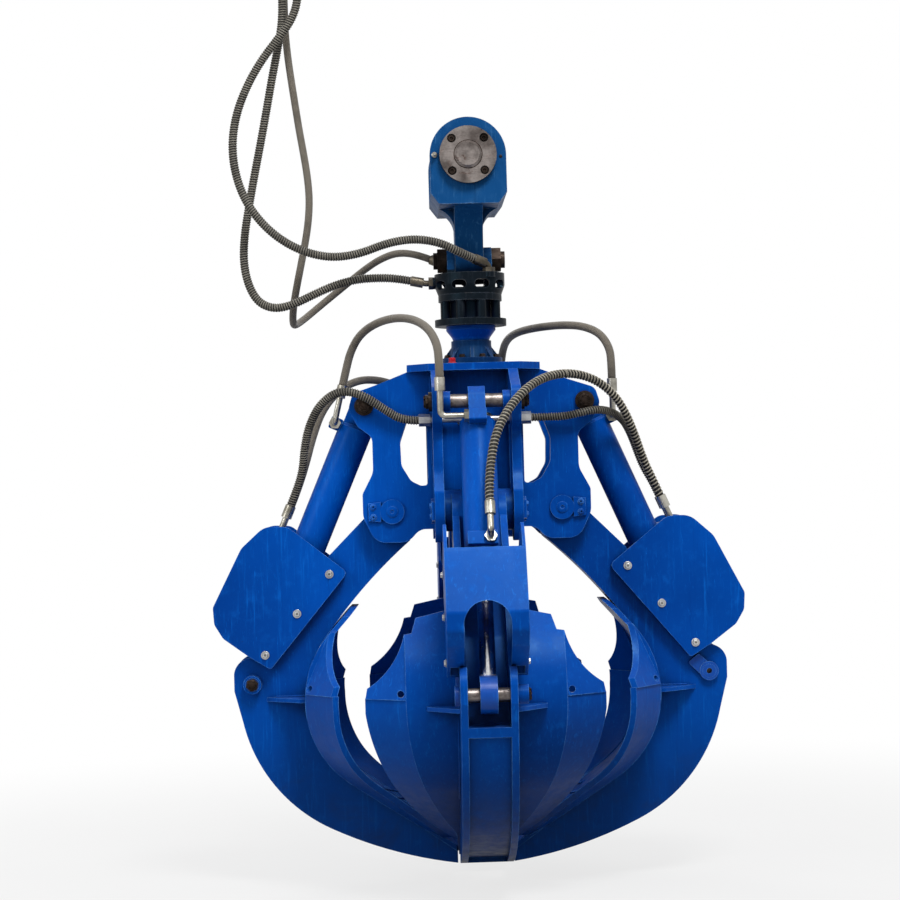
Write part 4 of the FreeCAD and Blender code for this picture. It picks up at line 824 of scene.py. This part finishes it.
for side, quarter in SIDES.items():
    bolts = Pile()
    for x, z in GUARD_BOLTS:
        for face in (-1, 1):
            bolts.bolt((x, face * GUARD_SIDE, z), (0, face, 0))
    bolts.piece(f"{side}_guard_bolts", f"{side}_tine", bolt_steel, "bolt_steel", quarter)

    nut = Pile()
    nut.castle_nut((ROD_PIN[0], ROD_LUG_SIDE, ROD_PIN[1]), (0, 1, 0), 19, 9)
    nut.piece(f"{side}_rod_pin_nut", f"{side}_tine", dark_steel, "pin_steel", quarter)

    welds = Pile()
    for face in (-1, 1):
        welds.bead(shell_line(face * SPINE_SIDE, 22, -96), 3.6)
        welds.bead([(SHELL[0] + 300 + step * 12, face * 79.5, SHELL[1] + 9.5) for step in range(9)], 2.6)
    welds.piece(f"{side}_welds", f"{side}_tine", blue_paint, "blue_paint", quarter, 80)

    seams = Pile()
    for face in (-1, 1):
        seams.bead([(130 + step * 6, face * SEAM_SIDE, -628.5) for step in range(11)], 3.2)
        seams.bead([(SEAM_SIDE, face * SEAM_SIDE, -640 - step * 20) for step in range(14)], 3.0)
    seams.piece(f"{side}_frame_welds", "turning_frame", blue_paint, "blue_paint", quarter, 80)

    keepers, nuts = Pile(), Pile()
    x, z = PIVOT
    for face in (-1, 1):
        out = (0, face, 0)
        outline = [(33, -30), (70, -26), (70, 26), (33, 30)]
        keepers.plate([(x + along, face * FRAME_SIDE, z + up) for along, up in outline], out, 9)
        for lift in (-15, 15):
            keepers.bolt((x + 55, face * KEEPER_TOP, z + lift), out, 9, 7.5, 5)
        keepers.spin((x, face * COLLAR_TOP, z), out, [(17, -1), (17, 2), (15.5, 3), (6, 3), (5, 0.5)], 28)
        nuts.castle_nut((CYLINDER_PIN[0], face * COLLAR_TOP, CYLINDER_PIN[1]), out, 21, 14)
    keepers.piece(f"{side}_pivot_keepers", "turning_frame", blue_paint, "blue_paint", quarter)
    nuts.piece(f"{side}_cylinder_pin_nuts", "turning_frame", dark_steel, "pin_steel", quarter)

ring_bolts = Pile()
for face in (-1, 1):
    for corner in range(4):
        angle = math.radians(45 + 90 * corner)
        centre = (67 * math.cos(angle), face * RING_SIDE, 67 * math.sin(angle))
        ring_bolts.spin(centre, (0, face, 0), [(9.5, -1), (9.5, 5), (8.5, 6), (5, 6), (4.6, 2.5)], 20)
    ring_bolts.spin((96, face * CHEEK_SIDE, -6), (0, face, 0), [(4.5, -1), (4.5, 1.5), (3.5, 2)], 16)
    groove = [(38, -2), (42.3, -2), (42.3, 0.3), (41.6, 0.5), (38, 0.5)]
    ring_bolts.spin((0, face * PIN_END, 0), (0, face, 0), groove, 60)
ring_bolts.piece("pin_ring_bolts", "hanger", dark_steel, "pin_steel")

nipples = Pile()
profile = [(8, -1), (8, 6), (6, 7), (4.5, 8), (4.5, 14), (6.5, 17), (6.5, 20), (3.5, 24)]
for face in (-1, 1):
    nipples.spin((-98, face * CHEEK_SIDE, 2), (0, face, 0), profile, 16)
nipples.piece("grease_nipples", "hanger", zinc, "zinc_fitting")

stool_bolts = Pile()
for corner in range(8):
    angle = math.radians(22.5 + 45 * corner)
    centre = (79 * math.cos(angle), 79 * math.sin(angle), STOOL_FLANGE_TOP)
    stool_bolts.bolt(centre, (0, 0, 1), 11, 9, 9)
stool_bolts.piece("stool_bolts", "turning_frame", dark_steel, "pin_steel")

cap = Pile()
profile = [(13, -1), (13, 4), (10, 5), (10, 15), (8.5, 18), (4, 18.6)]
cap.spin((-62, -142, TOP_PLATE_TOP), (0, 0, 1), profile, 24)
cap.piece("red_cap", "turning_frame", red_plastic, "black_paint")


# Floor: shows the shadow near the object and fades to white away from it

FLOOR_HEIGHT, FLOOR_REACH = -2.14, 30
corners = [(x * FLOOR_REACH, y * FLOOR_REACH, FLOOR_HEIGHT) for x, y in ((-1, -1), (1, -1), (1, 1), (-1, 1))]
floor = make("floor", corners, [(0, 1, 2, 3)], [])
ground = Shade("floor", Roughness=0.9)
ground.set("Base Color", ground.mix(ground.noise(3, 4), (0.36, 0.36, 0.36, 1), (0.40, 0.40, 0.40, 1)))
plain = ground.add("ShaderNodeEmission")
from_centre = ground.add("ShaderNodeVectorMath", operation="LENGTH")
ground.link(ground.place, from_centre.inputs[0])
floor_rays = ground.add("ShaderNodeLightPath")
mirrored = ground.times(floor_rays.outputs["Is Glossy Ray"], 0.3)
seen = ground.math("MAXIMUM", floor_rays.outputs["Is Camera Ray"], mirrored)
whiteness = ground.times(seen, ground.step(from_centre.outputs["Value"], 2.2, 4.5, 0.76, 1.0))
blend_floor = ground.add("ShaderNodeMixShader")
ground.link(whiteness, blend_floor.inputs[0])
ground.link(ground.shader.outputs[0], blend_floor.inputs[1])
ground.link(plain.outputs[0], blend_floor.inputs[2])
ground.link(blend_floor.outputs[0], ground.out.inputs[0])
floor.data.materials.append(ground.material)

# World: grey that brightens upwards for light, white for the camera, half of each in reflections

world = bpy.data.worlds.new("studio")
scene.world = world
world.use_nodes = True
tree = world.node_tree
light = tree.nodes["Background"]
light.inputs["Strength"].default_value = 1.0
direction = tree.nodes.new("ShaderNodeTexCoord")
split = tree.nodes.new("ShaderNodeSeparateXYZ")
sky = tree.nodes.new("ShaderNodeMapRange")
sky.interpolation_type = "SMOOTHSTEP"
for socket, number in zip(("From Min", "From Max", "To Min", "To Max"), (-0.4, 0.9, 0.16, 0.78)):
    sky.inputs[socket].default_value = number
tint = tree.nodes.new("ShaderNodeCombineColor")
white = tree.nodes.new("ShaderNodeBackground")
white.inputs["Color"].default_value = (1, 1, 1, 1)
white.inputs["Strength"].default_value = 1.0
rays = tree.nodes.new("ShaderNodeLightPath")
halved = tree.nodes.new("ShaderNodeMath")
halved.operation = "MULTIPLY"
halved.inputs[1].default_value = 0.5
either = tree.nodes.new("ShaderNodeMath")
either.operation = "MAXIMUM"
choose = tree.nodes.new("ShaderNodeMixShader")
for source, target in (
    (direction.outputs["Generated"], split.inputs[0]),
    (split.outputs["Z"], sky.inputs["Value"]),
    (sky.outputs["Result"], tint.inputs["Red"]),
    (sky.outputs["Result"], tint.inputs["Green"]),
    (sky.outputs["Result"], tint.inputs["Blue"]),
    (tint.outputs["Color"], light.inputs["Color"]),
    (rays.outputs["Is Glossy Ray"], halved.inputs[0]),
    (rays.outputs["Is Camera Ray"], either.inputs[0]),
    (halved.outputs[0], either.inputs[1]),
    (either.outputs[0], choose.inputs[0]),
    (light.outputs[0], choose.inputs[1]),
    (white.outputs[0], choose.inputs[2]),
    (choose.outputs[0], tree.nodes["World Output"].inputs[0]),
):
    tree.links.new(source, target)


def lamp(name, place, target, power, wide):
    """Square area lamp of a power in watts, turned to its target."""
    data = bpy.data.lights.new(name, "AREA")
    data.energy = power
    data.size = wide
    item = bpy.data.objects.new(name, data)
    scene.collection.objects.link(item)
    item.location = place
    item.rotation_mode = "QUATERNION"
    item.rotation_quaternion = (Vector(target) - Vector(place)).to_track_quat("-Z", "Y")


lamp("key", (1.2, -3.6, 4.4), (0, 0, -1.0), 400, 2.0)
lamp("fill", (-4.2, -3.4, 1.0), (0, 0, -1.0), 80, 2.4)
lamp("rim", (-1.5, 4.5, 2.8), (0, 0, -0.9), 110, 2.4)

scene.view_settings.view_transform = "Standard"
